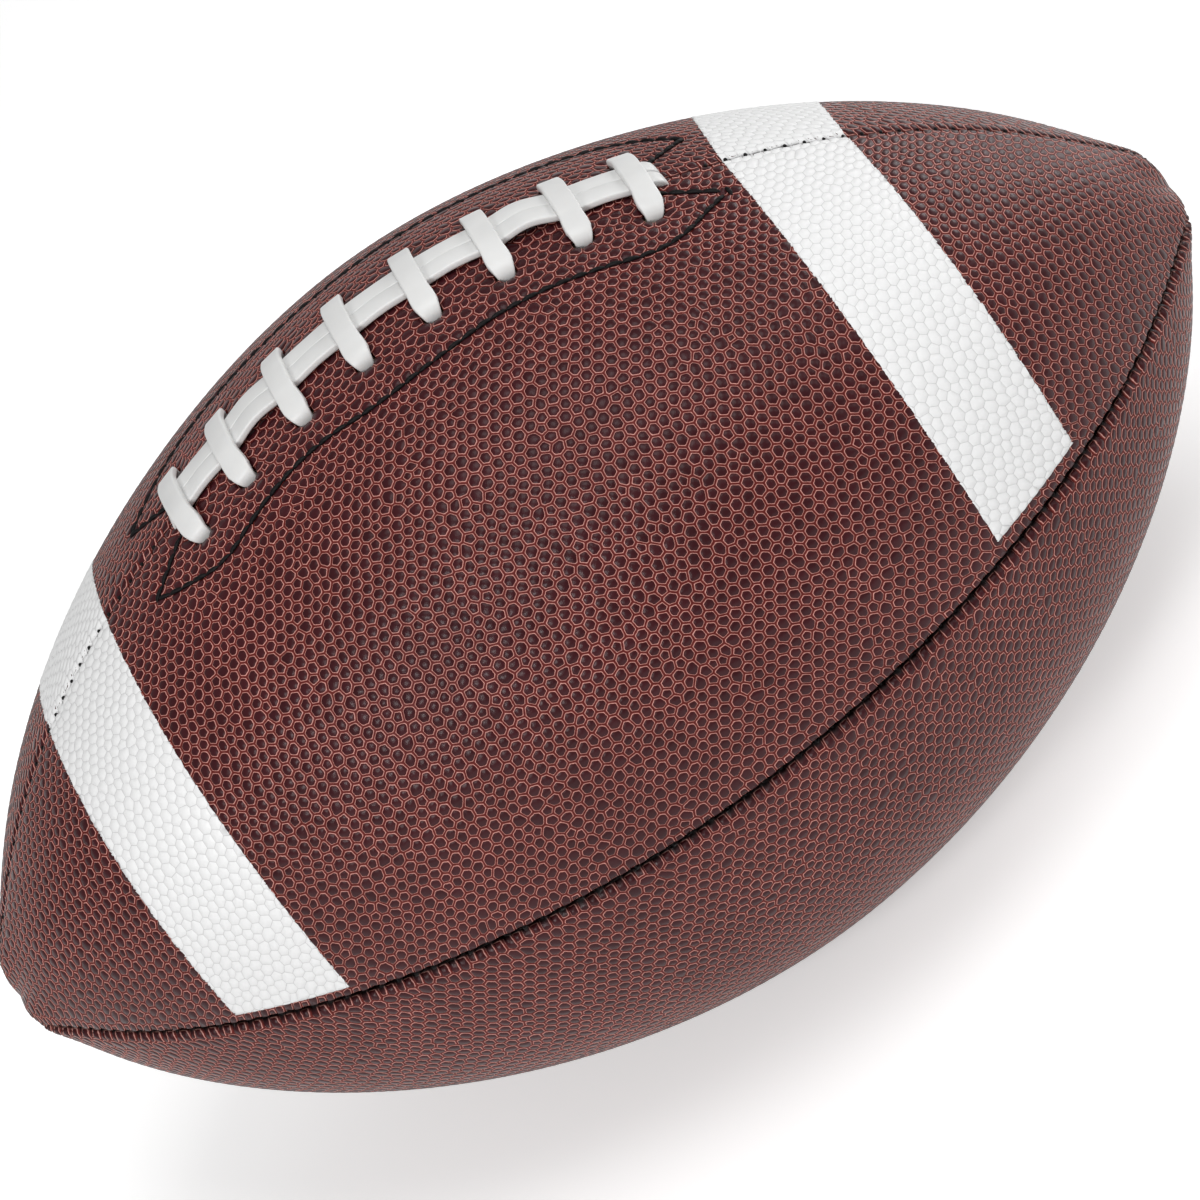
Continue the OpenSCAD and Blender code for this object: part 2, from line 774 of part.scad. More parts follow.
panel_top_near();
panel_top_far();
panel_bottom_near();
panel_bottom_far();
lining_top_near();
lining_top_far();
lining_bottom_near();
lining_bottom_far();
stripe_near_right();
stripe_near_left();
stripe_far_right();
stripe_far_left();
seam_thread_top();
seam_thread_near();
seam_thread_far();
seam_thread_bottom();
facing_near();
facing_far();
facing_stitch_near();
facing_stitch_far();
lace();
tongue();
bladder();
valve_body();
valve_core();
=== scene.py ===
import math

import bmesh
import bpy
import numpy as np
from mathutils import Matrix, Vector
from mathutils.geometry import delaunay_2d_cdt


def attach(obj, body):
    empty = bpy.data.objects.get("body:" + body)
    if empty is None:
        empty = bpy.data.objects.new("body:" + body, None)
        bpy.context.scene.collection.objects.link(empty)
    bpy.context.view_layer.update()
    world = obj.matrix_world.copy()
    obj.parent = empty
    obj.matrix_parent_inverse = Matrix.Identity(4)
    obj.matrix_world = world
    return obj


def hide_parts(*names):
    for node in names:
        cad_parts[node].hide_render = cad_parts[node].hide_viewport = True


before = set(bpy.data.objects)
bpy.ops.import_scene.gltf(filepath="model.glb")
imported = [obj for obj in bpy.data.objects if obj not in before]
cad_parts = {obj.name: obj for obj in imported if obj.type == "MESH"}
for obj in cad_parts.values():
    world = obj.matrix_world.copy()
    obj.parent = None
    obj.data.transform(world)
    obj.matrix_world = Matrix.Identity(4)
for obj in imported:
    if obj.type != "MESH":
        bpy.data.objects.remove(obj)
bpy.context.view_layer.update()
mm = 0.001
print("frame loaded:", len(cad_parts), "nodes")


# small helpers
def linearColor(hexText):
    channels = [int(hexText[i:i + 2], 16) / 255 for i in (1, 3, 5)]
    return [c / 12.92 if c <= 0.04045 else ((c + 0.055) / 1.055) ** 2.4 for c in channels] + [1]


def addNode(tree, kind, inputs=None, stops=(), **settings):
    # a node with its settings, the colours of its ramp, and a value or a link for each input that is given
    node = tree.nodes.new(kind)
    for name, value in settings.items():
        setattr(node, name, value)
    if stops:
        for _ in stops[2:]:
            node.color_ramp.elements.new(0.5)
        for element, (at, color) in zip(node.color_ramp.elements, stops):
            element.position = at
            element.color = linearColor(color)
    for socket, value in (inputs or {}).items():
        if isinstance(value, bpy.types.NodeSocket):
            tree.links.new(value, node.inputs[socket])
        else:
            node.inputs[socket].default_value = value
    return node


def addObject(name, data):
    thing = bpy.data.objects.new(name, data)
    bpy.context.scene.collection.objects.link(thing)
    return thing


def makeObject(name, vertices, faces, attributes=None):
    # vertices in millimetres
    mesh = bpy.data.meshes.new(name)
    mesh.from_pydata((np.asarray(vertices) * mm).tolist(), [], faces)
    for label, values in (attributes or {}).items():
        values = np.asarray(values, np.float32)
        kind = "FLOAT" if values.ndim == 1 else "FLOAT_VECTOR"
        layer = mesh.attributes.new(label, kind, "POINT")
        layer.data.foreach_set("value" if values.ndim == 1 else "vector", values.ravel())
    return addObject(name, mesh)


def keepModified(piece):
    # what the modifiers make of a piece becomes its plain mesh
    shaped = piece.evaluated_get(bpy.context.evaluated_depsgraph_get())
    mesh = bpy.data.meshes.new_from_object(shaped)
    piece.modifiers.clear()
    piece.data = mesh
    mesh.name = piece.name
    return piece


def applyTree(piece, tree, values):
    modifier = piece.modifiers.new(tree.name, "NODES")
    modifier.node_group = tree
    sockets = {item.name: item.identifier for item in tree.interface.items_tree if item.in_out == "INPUT"}
    for label, value in values.items():
        modifier[sockets[label]] = value
    return keepModified(piece)


def treeInputs(tree, kinds):
    tree.interface.new_socket("Geometry", in_out="INPUT", socket_type="NodeSocketGeometry")
    for label, kind in kinds.items():
        tree.interface.new_socket(label, in_out="INPUT", socket_type="NodeSocket" + kind)
    tree.interface.new_socket("Geometry", in_out="OUTPUT", socket_type="NodeSocketGeometry")
    return addNode(tree, "NodeGroupInput").outputs


def finishPiece(piece, slot, *nodes):
    piece.data.polygons.foreach_set("use_smooth", [True] * len(piece.data.polygons))
    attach(piece, "root")
    if nodes:
        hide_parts(*nodes)
    print("piece", piece.name, len(piece.data.polygons), "faces")
    return piece


def mix(a, b, t):
    return a * (1 - t) + b * t


def unit(v):
    return v / np.linalg.norm(v, axis=-1, keepdims=True)


def runningLength(line):
    # length from a line's first point to each of its points
    return np.concatenate([[0], np.cumsum(np.linalg.norm(np.diff(line, axis=0), axis=1))])


def smoothThrough(at, values, fine):
    # cubic through all values, with slopes from the neighbours
    slope = np.gradient(values, at)
    i = np.clip(np.searchsorted(at, fine) - 1, 0, len(at) - 2)
    h = at[i + 1] - at[i]
    t = (fine - at[i]) / h
    return ((2 * t ** 3 - 3 * t ** 2 + 1) * values[i] + (t ** 3 - 2 * t ** 2 + t) * h * slope[i]
            + (3 * t ** 2 - 2 * t ** 3) * values[i + 1] + (t ** 3 - t ** 2) * h * slope[i + 1])


def distanceToLine(points, line):
    best = np.full(len(points), np.inf)
    for a, b in zip(line[:-1], line[1:]):
        d = b - a
        t = np.clip(((points - a) @ d) / (d @ d), 0, 1)
        best = np.minimum(best, np.linalg.norm(points - a - t[:, None] * d, axis=1))
    return best


# shape of the ball, in millimetres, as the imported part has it: s runs along it from -1 to 1, and the angle
# round it from the lace seam towards the near side
ball = dict(
    halfLength=145, panelRadius=85.8, restFlat=0.5,
    belly=1.93, blunt=0.681,  # powers of the profile: fuller at the middle, blunt at the tips
    tipCorner=45, corner=44.3, cornerEnd=0.468,  # the small corner that the seams make at each tip
    seamSink=3.6, sink=2.594,  # how deep the seams lie, and how sharply the skin dips to them
    lacingRise=2.4, lacingReach=62,  # the skin stands higher under the lacing
    thick=1.8, turnIn=3.1,  # of a cover panel, and how deep its sewn edges turn in
    seamGap=0.8,
)
centreZ = ball["panelRadius"] - ball["seamSink"] - ball["restFlat"]


def coreShare(s):
    return np.maximum(1 - np.abs(s) ** ball["belly"], 1e-9)


def middleRadius(s):
    return ball["panelRadius"] * coreShare(s) ** ball["blunt"]


def seamRadius(s):
    corner = ball["tipCorner"] * np.abs(s) ** ball["corner"] * coreShare(s) ** ball["cornerEnd"]
    return middleRadius(s) * (1 - ball["seamSink"] / ball["panelRadius"]) + corner


def skinRadius(s, angle):
    swell = np.abs(np.sin(2 * angle)) ** ball["sink"]
    reach = np.clip(np.abs(s) * ball["halfLength"] / ball["lacingReach"], 0, 1)
    rise = np.where(np.cos(angle) > math.cos(math.pi / 4), ball["lacingRise"] * (1 - reach ** 2) ** 2, 0)
    return middleRadius(s) * swell + (seamRadius(s) + rise) * (1 - swell)


def skinPoint(s, angle, depth=0.0):
    s, angle, depth = np.broadcast_arrays(np.asarray(s, float), angle, depth)
    r = skinRadius(s, angle) * (ball["panelRadius"] - depth) / ball["panelRadius"]
    x = (ball["halfLength"] - depth) * s
    return np.stack([x, -r * np.sin(angle), r * np.cos(angle) + centreZ], -1)


def arcPoint(x, arc, height):
    # place by its distance along the surface from the lace seam
    s = np.asarray(x, float) / ball["halfLength"]
    return skinPoint(s, arc / skinRadius(s, 0.0), -np.asarray(height, float))


def surfaceFrame(x, arc):
    # directions along the ball, round it and outwards
    step = 0.5
    ahead = unit(arcPoint(x + step, arc, 0) - arcPoint(x - step, arc, 0))
    aside = unit(arcPoint(x, arc + step, 0) - arcPoint(x, arc - step, 0))
    return ahead, aside, unit(np.cross(aside, ahead))


# flat chart of a panel: u runs along its middle line, v across it, both in real millimetres
chart = dict(points=6001, swellPoints=720, end=0.9998)
chartS = np.sin(np.linspace(-math.pi / 2, math.pi / 2, chart["points"])) * chart["end"]
chartU = runningLength(skinPoint(chartS, math.pi / 4))
chartU -= chartU[-1] / 2
swellMean = float(np.mean(np.abs(np.sin(np.linspace(0, math.pi, chart["swellPoints"]))) ** ball["sink"]))


def meanRadius(s):
    return middleRadius(s) * swellMean + seamRadius(s) * (1 - swellMean)


chartHalf = (math.pi / 4 - np.arcsin(ball["seamGap"] / 2 / seamRadius(chartS))) * meanRadius(chartS)
edgeLength = runningLength(np.stack([chartU, chartHalf], -1))
edgeLength -= edgeLength[-1] / 2


def halfWidth(u):
    return np.interp(u, chartU, chartHalf)


def fromChart(u, v):
    s = np.interp(u, chartU, chartS)
    return s, math.pi / 4 + v / meanRadius(s)


def toChart(x, arc):
    # from a distance along the surface from the lace seam, on the panel that it lies on
    s = np.asarray(x, float) / ball["halfLength"]
    v = (np.abs(arc) / skinRadius(s, 0.0) - math.pi / 4) * meanRadius(s)
    return np.stack([np.interp(s, chartS, chartU), v], -1)


# what is sewn and laced into the panels
seams = dict(
    pitch=4.2, lacePitch=4.4, cells=2,  # of the stitches, and how many pebbles an edge has for each
    pullReach=8, tipRoom=5,
)
facing = dict(
    x=(-67.6, -64.1, -58.2, -53.8, -49.3, -43.5, -38.8, -33.8, -28.2, -23.3, -18.5, -14.2, -8.0, 0.0,
       7.0, 16.4, 22.9, 29.0, 34.9, 40.5, 46.3, 50.5, 57.0, 62.4, 67.8),
    arc=(12.9, 15.6, 19.3, 21.6, 22.3, 21.4, 20.7, 20.3, 20.3, 20.8, 21.7, 22.7, 23.4, 23.2,
         22.6, 21.3, 20.9, 20.8, 21.1, 21.6, 22.2, 22.0, 19.4, 15.4, 11.6),
    farArc=(13.2, 16.2, 21.0, 23.8, 25.6, 26.9, 27.4, 27.6, 27.6, 27.7, 27.9, 28.0, 28.2, 28.8,
            29.6, 30.3, 30.5, 30.6, 30.6, 30.3, 29.6, 28.6, 25.8, 21.8, 16.2),
    endX=52, endArc=2.6, points=160, endPoints=8, groove=0.55, grooveWidth=0.8,
)
lacing = dict(
    slit=(-63.5, 67), shift=-1.3,  # the whole lacing lies a little to the far side
    holeArc=12.4, holeRadius=2.3, holeCells=8, dimple=0.9, dimpleReach=3.0,
    nearX=(-53.2, -39.5, -23.8, -8.2, 7.7, 23.6, 39.4, 53.4),
    farX=(-53.8, -39.3, -23.2, -7.6, 8.4, 24.2, 40.2, 54.2),
)
valve = dict(radius=4.3, cells=13)
wrapX = (np.array(lacing["nearX"]) + lacing["farX"]) / 2


def facingLine(far):
    # one closed V-ended line on a panel, from the slit's left end round to its right end
    x, arc = np.array(facing["x"]), np.array(facing["farArc" if far else "arc"])
    fine = np.linspace(x[0], x[-1], facing["points"])
    arc = smoothThrough(x, arc, fine)
    inX = np.linspace(facing["endX"], abs(fine[-1]), facing["endPoints"] + 1)[:-1]
    leftArc, rightArc = [facing["endArc"] + (end - facing["endArc"]) * (inX - inX[0]) / (fine[-1] - inX[0])
                         for end in (arc[0], arc[-1])]
    x = np.concatenate([-inX * abs(fine[0]) / fine[-1], fine, inX[::-1]])
    return x, np.concatenate([leftArc, arc, rightArc[::-1]])


# pebbled panels: each pebble is a cell with a sunken valley round it, a brow and a crown
pebble = dict(
    pitch=2.52, jitter=0.345, even=0.7, cellRounding=0.45, extent=(190, 80),
    drift=(1.3, 0.7), driftLengths=(19, 23, 13, 21, 25, 15),
    slope=0.41, leastBrow=0.35, rounding=0.2, valley=0.34, brow=0.03,
    unevenness=0.05, lumps=0.26,  # how high the leather's slight lumps are, and how many to a millimetre
    edgeInset=1.0, edgeRoom=0.66, edgeEnd=1.9, tipInset=2.2, tipRoom=2,
    holeInset=1.1, holeRoom=0.62, holeSnap=1.6,
)
# each kind of edge rolls in by its drop over its width, has a pit at each stitch and is pulled to its seam:
# the lower panels lie under the upper ones' lip
edges = dict(
    lace=dict(pitch=seams["lacePitch"], width=1.2, drop=0.7, pit=0.6, reach=1.0, sharp=3, pull=0.38),
    upper=dict(pitch=seams["pitch"], width=0.8, drop=0.35, pit=1.1, reach=0.8, sharp=6, pull=0.0),
    lower=dict(pitch=seams["pitch"], width=1.8, drop=1.8, pit=1.2, reach=1.5, sharp=4, pull=-0.2),
    bottom=dict(pitch=seams["pitch"], width=1.3, drop=0.9, pit=0.8, reach=1.2, sharp=3, pull=0.15),
)
innerSide = dict(spacing=9.0, margin=3, holeMargin=2, edgeSlack=0.02, holeShare=0.97, turnWidth=0.3)
covers = {
    "panel_top_near": dict(seed=31, turn=0.0, mirrored=False, kinds=("lace", "upper"), laceX=lacing["nearX"]),
    "panel_top_far": dict(seed=30, turn=0.0, mirrored=True, kinds=("lace", "upper"), laceX=lacing["farX"],
                          withValve=True),
    "panel_bottom_near": dict(seed=65, turn=math.pi, mirrored=True, kinds=("bottom", "lower")),
    "panel_bottom_far": dict(seed=64, turn=math.pi, mirrored=False, kinds=("bottom", "lower")),
}
tiny = 1e-6


def edgeRows(spacing, side):
    # seeds in pairs on both sides of a panel's edge, so that the cells end on it
    def edgePoint(along):
        return np.stack([np.interp(along, edgeLength, chartU),
                         side * np.interp(along, edgeLength, chartHalf)], -1)

    count = int(edgeLength[-1] / spacing)
    along = np.arange(-count, count + 1) * spacing
    step = 0.4
    line = edgePoint(along)
    way = edgePoint(along + step) - edgePoint(along - step)
    inset = unit(np.stack([way[:, 1], -way[:, 0]], -1)) * side * pebble["edgeInset"]
    keep = np.abs(line[:, 1]) > pebble["edgeEnd"]
    return (line + inset)[keep], line - inset


def freeSeeds(rng, holes):
    # a jittered grid over the panel's inside, clear of its edges and holes
    pitch = pebble["pitch"]
    rowHeight = math.sqrt(3) / 2
    columns, rows = int(pebble["extent"][0] / pitch), int(pebble["extent"][1] / pitch / rowHeight)
    i, j = np.meshgrid(np.arange(-columns, columns + 1), np.arange(-rows, rows + 1))
    u = (i + (j % 2) / 2) * pitch
    v = j * pitch * rowHeight
    bend = rng.uniform(0, 6, 4)  # a slow drift keeps the rows from lining up
    strong, weak = pebble["drift"]
    wave = pebble["driftLengths"]
    u = u + strong * np.sin(v / wave[0] + bend[0]) + weak * np.sin(u / wave[1] + v / wave[2] + bend[1])
    v = v + strong * np.sin(u / wave[3] + bend[2]) + weak * np.sin(v / wave[4] - u / wave[5] + bend[3])
    turn = rng.uniform(0, 2 * math.pi, u.shape)
    far = pebble["jitter"] * pitch * np.sqrt(rng.uniform(0, 1, u.shape))
    points = np.stack([u + far * np.cos(turn), v + far * np.sin(turn)], -1).reshape(-1, 2)
    slope = np.interp(points[:, 0], chartU, np.gradient(chartHalf, chartU))
    room = (halfWidth(points[:, 0]) - np.abs(points[:, 1])) / np.sqrt(1 + slope ** 2)
    inEnd = np.abs(points[:, 0]) < chartU[-1] - pebble["tipRoom"]
    points = points[(room > pebble["edgeInset"] + pebble["edgeRoom"] * pitch) & inEnd]
    for uc, vc, radius, _ in holes:
        away = np.linalg.norm(points - (uc, vc), axis=1)
        points = points[away > radius + pebble["holeInset"] + pebble["holeRoom"] * pitch]
    return points


def panelSeeds(rng, spacings, holes):
    # first the seeds inside the panel, then those outside it, which only shape the cells on its edges
    points = freeSeeds(rng, holes)
    inside, outside = [points], []
    for side, spacing in zip((-1, 1), spacings):
        within, beyond = edgeRows(spacing, side)
        inside.append(within)
        outside.append(beyond)
    for sign in (-1, 1):
        inside.append(np.array([[sign * (chartU[-1] - pebble["tipInset"]), 0]]))
        outside.append(np.array([[sign * (chartU[-1] + pebble["tipRoom"]), 0]]))
    for uc, vc, radius, count in holes:
        a = np.arange(count) * 2 * math.pi / count
        ring = np.stack([np.cos(a), np.sin(a)], -1)
        inside.append(np.array([uc, vc]) + ring * (radius + pebble["holeInset"]))
        outside.append(np.array([uc, vc]) + ring * (radius - pebble["holeInset"]))
    inside, outside = np.concatenate(inside), np.concatenate(outside)
    seeds, insideCount = np.concatenate([inside, outside]), len(inside)
    corners, cell, tri = panelCells(seeds, insideCount, holes)
    size = np.maximum(np.bincount(cell, minlength=len(seeds)), 1)
    heart = np.stack([np.bincount(cell, corners[tri, k], len(seeds)) / size for k in (0, 1)], -1)
    free = np.arange(len(points))  # evens out the cells that aren't tied to an edge
    seeds[free] += pebble["even"] * (heart[free] - seeds[free])
    return seeds, insideCount


def snapToEdges(points, holes):
    # puts points on the nearest edge of the panel or of a hole in it
    points = points.copy()
    points[:, 0] = np.clip(points[:, 0], chartU[0], chartU[-1])
    half = halfWidth(points[:, 0])
    free = np.full(len(points), True)
    for uc, vc, radius, _ in holes:
        away = points - (uc, vc)
        distance = np.linalg.norm(away, axis=1)
        near = np.abs(distance - radius) < pebble["holeSnap"]
        points[near] = (uc, vc) + away[near] / distance[near][:, None] * radius
        free[near] = False
    points[free, 1] = np.sign(points[free, 1]) * half[free]
    return points


def panelCells(seeds, insideCount, holes):
    # the cells' shared corners, and for each cell, in order round it, its number and those of its corners
    coords, _, faces, origins, _, _ = delaunay_2d_cdt([Vector(p) for p in seeds], [], [], 0, tiny, True)
    points = np.array([c[:] for c in coords])
    kept = np.array([ids[0] < insideCount for ids in origins])
    tris = np.array(faces)
    a, b, c = points[tris[:, 0]], points[tris[:, 1]], points[tris[:, 2]]
    ab, ac = b - a, c - a
    cross = 2 * (ab[:, 0] * ac[:, 1] - ab[:, 1] * ac[:, 0])
    cross = np.where(np.abs(cross) < tiny, tiny, cross)
    lab, lac = (ab ** 2).sum(1), (ac ** 2).sum(1)
    across = np.stack([ac[:, 1] * lab - ab[:, 1] * lac, ab[:, 0] * lac - ac[:, 0] * lab], -1)
    centre = a + across / cross[:, None]
    whole = kept[tris].all(1)
    corners = np.where(whole[:, None], mix(centre, (a + b + c) / 3, pebble["cellRounding"]), centre)
    corners[~whole] = snapToEdges(corners[~whole], holes)
    over = np.abs(corners[:, 1]) > halfWidth(corners[:, 0])
    corners[over, 1] = np.sign(corners[over, 1]) * halfWidth(corners[over, 0])
    owner = tris.ravel()
    tri = np.repeat(np.arange(len(tris)), 3)
    mine = kept[owner]
    owner, tri = owner[mine], tri[mine]
    arm = corners[tri] - points[owner]
    order = np.lexsort((-np.arctan2(arm[:, 1], arm[:, 0]), owner))
    return corners, owner[order], tri[order]


def raisedCells(rng, corners, owner, tri):
    # the panel's outside, still flat: step is 0 in the valleys, 1 on the brows and 2 on the crowns
    total = len(tri)
    cells, first, cell, count = np.unique(owner, return_index=True, return_inverse=True, return_counts=True)
    index = np.arange(total)
    following = np.where(index + 1 < first[cell] + count[cell], index + 1, first[cell])
    previous = np.empty(total, int)
    previous[following] = index
    place = corners[tri]
    middle = np.stack([np.bincount(cell, place[:, k]) / count for k in (0, 1)], -1)
    edgeMiddle = (place + place[following]) / 2
    reach = np.bincount(cell, np.linalg.norm(edgeMiddle - middle[cell], axis=1)) / count
    inwards = np.clip(1 - pebble["slope"] / reach, pebble["leastBrow"], 1)[cell][:, None]
    brow = middle[cell] + (place - middle[cell]) * inwards
    browA = mix(brow, brow[following], pebble["rounding"])
    browB = mix(brow[following], brow, pebble["rounding"])
    used, tri = np.unique(tri, return_inverse=True)
    n = len(used)
    a, b, m = n + index, n + total + index, n + 2 * total + cell
    faces = []
    for loop in ((tri, tri[following], b, a), (tri, a, b[previous]), (m, b[previous], a), (m, a, b)):
        faces += np.stack(loop, -1).tolist()
    tone = rng.uniform(0, 1, len(cells))
    attributes = dict(
        step=np.concatenate([np.zeros(n), np.ones(2 * total), np.full(len(cells), 2.0)]),
        tone=np.concatenate([np.full(n, 0.5), tone[cell], tone[cell], tone]),
        toValley=np.concatenate([np.zeros(n), np.full(2 * total, pebble["slope"]), reach]),
    )
    ways = np.stack([tri, tri[following]], -1)
    key, back = ways[:, 0] * n + ways[:, 1], ways[:, 1] * n + ways[:, 0]
    rim = ways[~np.isin(key, back)]
    return np.concatenate([corners[used], browA, browB, middle]), faces, attributes, rim


def innerSheet(flat, rim, holes):
    # the plain sheet that closes a panel: its points, its faces, and its points that lie under the rim's
    ring, local = np.unique(rim, return_inverse=True)
    local = local.reshape(-1, 2)
    spacing = innerSide["spacing"]
    columns, rows = int(chartU[-1] / spacing), int(chartHalf.max() / spacing)
    i, j = np.meshgrid(np.arange(-columns, columns + 1), np.arange(-rows, rows + 1))
    grid = np.stack([i.ravel(), j.ravel()], -1) * spacing
    grid = grid[halfWidth(grid[:, 0]) - np.abs(grid[:, 1]) > innerSide["margin"]]
    for uc, vc, radius, _ in holes:
        grid = grid[np.hypot(grid[:, 0] - uc, grid[:, 1] - vc) > radius + innerSide["holeMargin"]]
    sheet = np.concatenate([flat[ring], grid])
    border = [tuple(way) for way in local.tolist()]
    coords, _, faces, origins, _, _ = delaunay_2d_cdt([Vector(p) for p in sheet], border, [], 0, tiny, True)
    coords = np.array([c[:] for c in coords])
    where = np.zeros(len(sheet), int)
    for k, ids in enumerate(origins):
        for original in ids:
            where[original] = k
    faces = np.array(faces)
    heart = coords[faces].mean(1)
    inside = np.abs(heart[:, 1]) < halfWidth(heart[:, 0]) - innerSide["edgeSlack"]
    for uc, vc, radius, _ in holes:
        inside &= np.hypot(heart[:, 0] - uc, heart[:, 1] - vc) > radius * innerSide["holeShare"]
    return coords, faces[inside], where[local]


def panelRelief(u, v, kinds, holes, far):
    # depth of the leather below the plain skin, and how much of it is the seams' crease, where the leather's
    # colour gets painted shade
    s, angle = fromChart(u, v)
    r = skinRadius(s, angle)
    along = np.interp(u, chartU, edgeLength)
    crease = np.zeros(len(u))
    for toEdge, kind in ((r * np.sin(angle), kinds[0]), (r * np.cos(angle), kinds[1])):
        edge = edges[kind]
        toEdge = np.maximum(toEdge - ball["seamGap"] / 2, 0)
        roll = np.clip(1 - toEdge / edge["width"], 0, 1) ** 2 * edge["drop"]
        wave = (0.5 + 0.5 * np.cos(2 * math.pi * along / edge["pitch"])) ** edge["sharp"]
        pits = edge["pit"] * wave * np.exp(-(toEdge / edge["reach"]) ** 2)
        if kind == "lace":
            x = s * ball["halfLength"]
            pits = np.where((x > lacing["slit"][0]) & (x < lacing["slit"][1]), 0, pits)
        crease += roll + pits
    depth = crease.copy()
    if kinds[0] == "lace":
        away = distanceToLine(np.stack([u, v], -1), toChart(*facingLine(far)))
        depth += facing["groove"] * np.exp(-(away / facing["grooveWidth"]) ** 2)
        for uc, vc, _, _ in holes[:len(wrapX)]:
            away = np.hypot(u - uc, v - vc)
            depth += lacing["dimple"] * np.exp(-(away / lacing["dimpleReach"]) ** 2)
    return depth, crease


def drawnBySeams(s, angle, kinds):
    # the stitches pull the leather beside them to the seam, or leave it slack where the pull is below 0
    r = skinRadius(s, angle)
    toSeams = (angle * r, (math.pi / 2 - angle) * r)
    for kind, toSeam, way in zip(kinds, toSeams, (-1, 1)):
        angle = angle + way * edges[kind]["pull"] / r * np.clip(1 - toSeam / seams["pullReach"], 0, 1)
    return angle


def reliefTree():
    # lowers the valleys and brows along the normals, and leaves the inner sheet, whose step is -1
    tree = bpy.data.node_groups.new("pebbleRelief", "GeometryNodeTree")
    given = treeInputs(tree, {"Valley": "Float", "Brow": "Float", "Unevenness": "Float", "Lumps": "Float"})
    named = addNode(tree, "GeometryNodeInputNamedAttribute", {"Name": "step"}, data_type="FLOAT")
    step = named.outputs["Attribute"]
    rise = addNode(tree, "ShaderNodeMapRange", {"Value": step, "To Min": given["Valley"],
                                                "To Max": given["Brow"]}).outputs[0]
    top = addNode(tree, "ShaderNodeMapRange", {"Value": step, "From Min": 1.0, "From Max": 2.0,
                                               "To Min": given["Brow"], "To Max": 0.0}).outputs[0]
    onTop = addNode(tree, "ShaderNodeMath", {0: step, 1: 1.0}, operation="GREATER_THAN").outputs[0]
    depth = addNode(tree, "ShaderNodeMix", {"Factor": onTop, "A": rise, "B": top},
                    data_type="FLOAT").outputs[0]
    lumps = addNode(tree, "ShaderNodeTexNoise", {"Scale": given["Lumps"], "Detail": 1.0}).outputs["Fac"]
    depth = addNode(tree, "ShaderNodeMath", {0: lumps, 1: given["Unevenness"], 2: depth},
                    operation="MULTIPLY_ADD").outputs[0]
    down = addNode(tree, "ShaderNodeMath", {0: depth, 1: -1.0}, operation="MULTIPLY").outputs[0]
    normal = addNode(tree, "GeometryNodeInputNormal").outputs["Normal"]
    offset = addNode(tree, "ShaderNodeVectorMath", {0: normal, "Scale": down}, operation="SCALE").outputs[0]
    outside = addNode(tree, "ShaderNodeMath", {0: step, 1: -0.5}, operation="GREATER_THAN").outputs[0]
    moved = addNode(tree, "GeometryNodeSetPosition", {"Geometry": given["Geometry"], "Selection": outside,
                                                      "Offset": offset})
    addNode(tree, "NodeGroupOutput", {"Geometry": moved.outputs[0]})
    return tree


pebbleRelief = reliefTree()


def pebbledPanel(name, seed, turn, mirrored, kinds, laceX=(), withValve=False):
    # turn: where the panel starts round the ball; a mirrored panel is laid out the other way round
    rng = np.random.default_rng(seed)
    holeArc = lacing["holeArc"] + lacing["shift"] * (-1 if mirrored else 1)
    holes = [(*toChart(x, holeArc), lacing["holeRadius"], lacing["holeCells"]) for x in laceX]
    if withValve:
        holes.append((0.0, 0.0, valve["radius"], valve["cells"]))
    seeds, insideCount = panelSeeds(rng, [edges[kind]["pitch"] / seams["cells"] for kind in kinds], holes)
    flat, faces, attributes, rim = raisedCells(rng, *panelCells(seeds, insideCount, holes))
    sheet, sheetFaces, under = innerSheet(flat, rim, holes)
    base = len(flat)
    faces += np.stack([rim[:, 1], rim[:, 0], base + under[:, 0], base + under[:, 1]], -1).tolist()
    faces += (base + sheetFaces).tolist()
    for label, value in (("step", -1.0), ("tone", 0.5), ("toValley", 0.0)):
        attributes[label] = np.concatenate([attributes[label], np.full(len(sheet), value)])
    u, v = np.concatenate([flat, sheet]).T
    depth, attributes["crease"] = panelRelief(u, v, kinds, holes, mirrored)
    turnsIn = np.abs(sheet[:, 1]) > halfWidth(sheet[:, 0]) - innerSide["turnWidth"]
    depth[base:] = np.where(turnsIn, ball["turnIn"], ball["thick"])
    s, angle = fromChart(u, v)
    angle = drawnBySeams(s, angle, kinds)
    points = skinPoint(s, turn - angle if mirrored else turn + angle, depth)
    points[:, 2] = np.maximum(points[:, 2], 0)
    if mirrored:
        faces = [face[::-1] for face in faces]
    panel = makeObject(name, points, faces, attributes)
    return applyTree(panel, pebbleRelief, {
        "Valley": pebble["valley"] * mm, "Brow": pebble["brow"] * mm,
        "Unevenness": pebble["unevenness"] * mm, "Lumps": pebble["lumps"] / mm})


# materials
def newMaterial(name):
    material = bpy.data.materials.new(name)
    material.use_nodes = True
    material.node_tree.nodes.clear()
    return material, material.node_tree


def closeMaterial(tree, sockets):
    shader = addNode(tree, "ShaderNodeBsdfPrincipled", sockets)
    addNode(tree, "ShaderNodeOutputMaterial", {"Surface": shader.outputs[0]})


def fineTexture(tree, size, detail, strength, depth):
    # the unevenness that a press, a print or a mould leaves, with its size and depth in millimetres
    place = addNode(tree, "ShaderNodeTexCoord").outputs["Object"]
    noise = addNode(tree, "ShaderNodeTexNoise", {"Vector": place, "Scale": 1 / (size * mm), "Detail": detail})
    return addNode(tree, "ShaderNodeBump", {"Height": noise.outputs["Fac"], "Strength": strength,
                                            "Distance": depth * mm}).outputs[0]


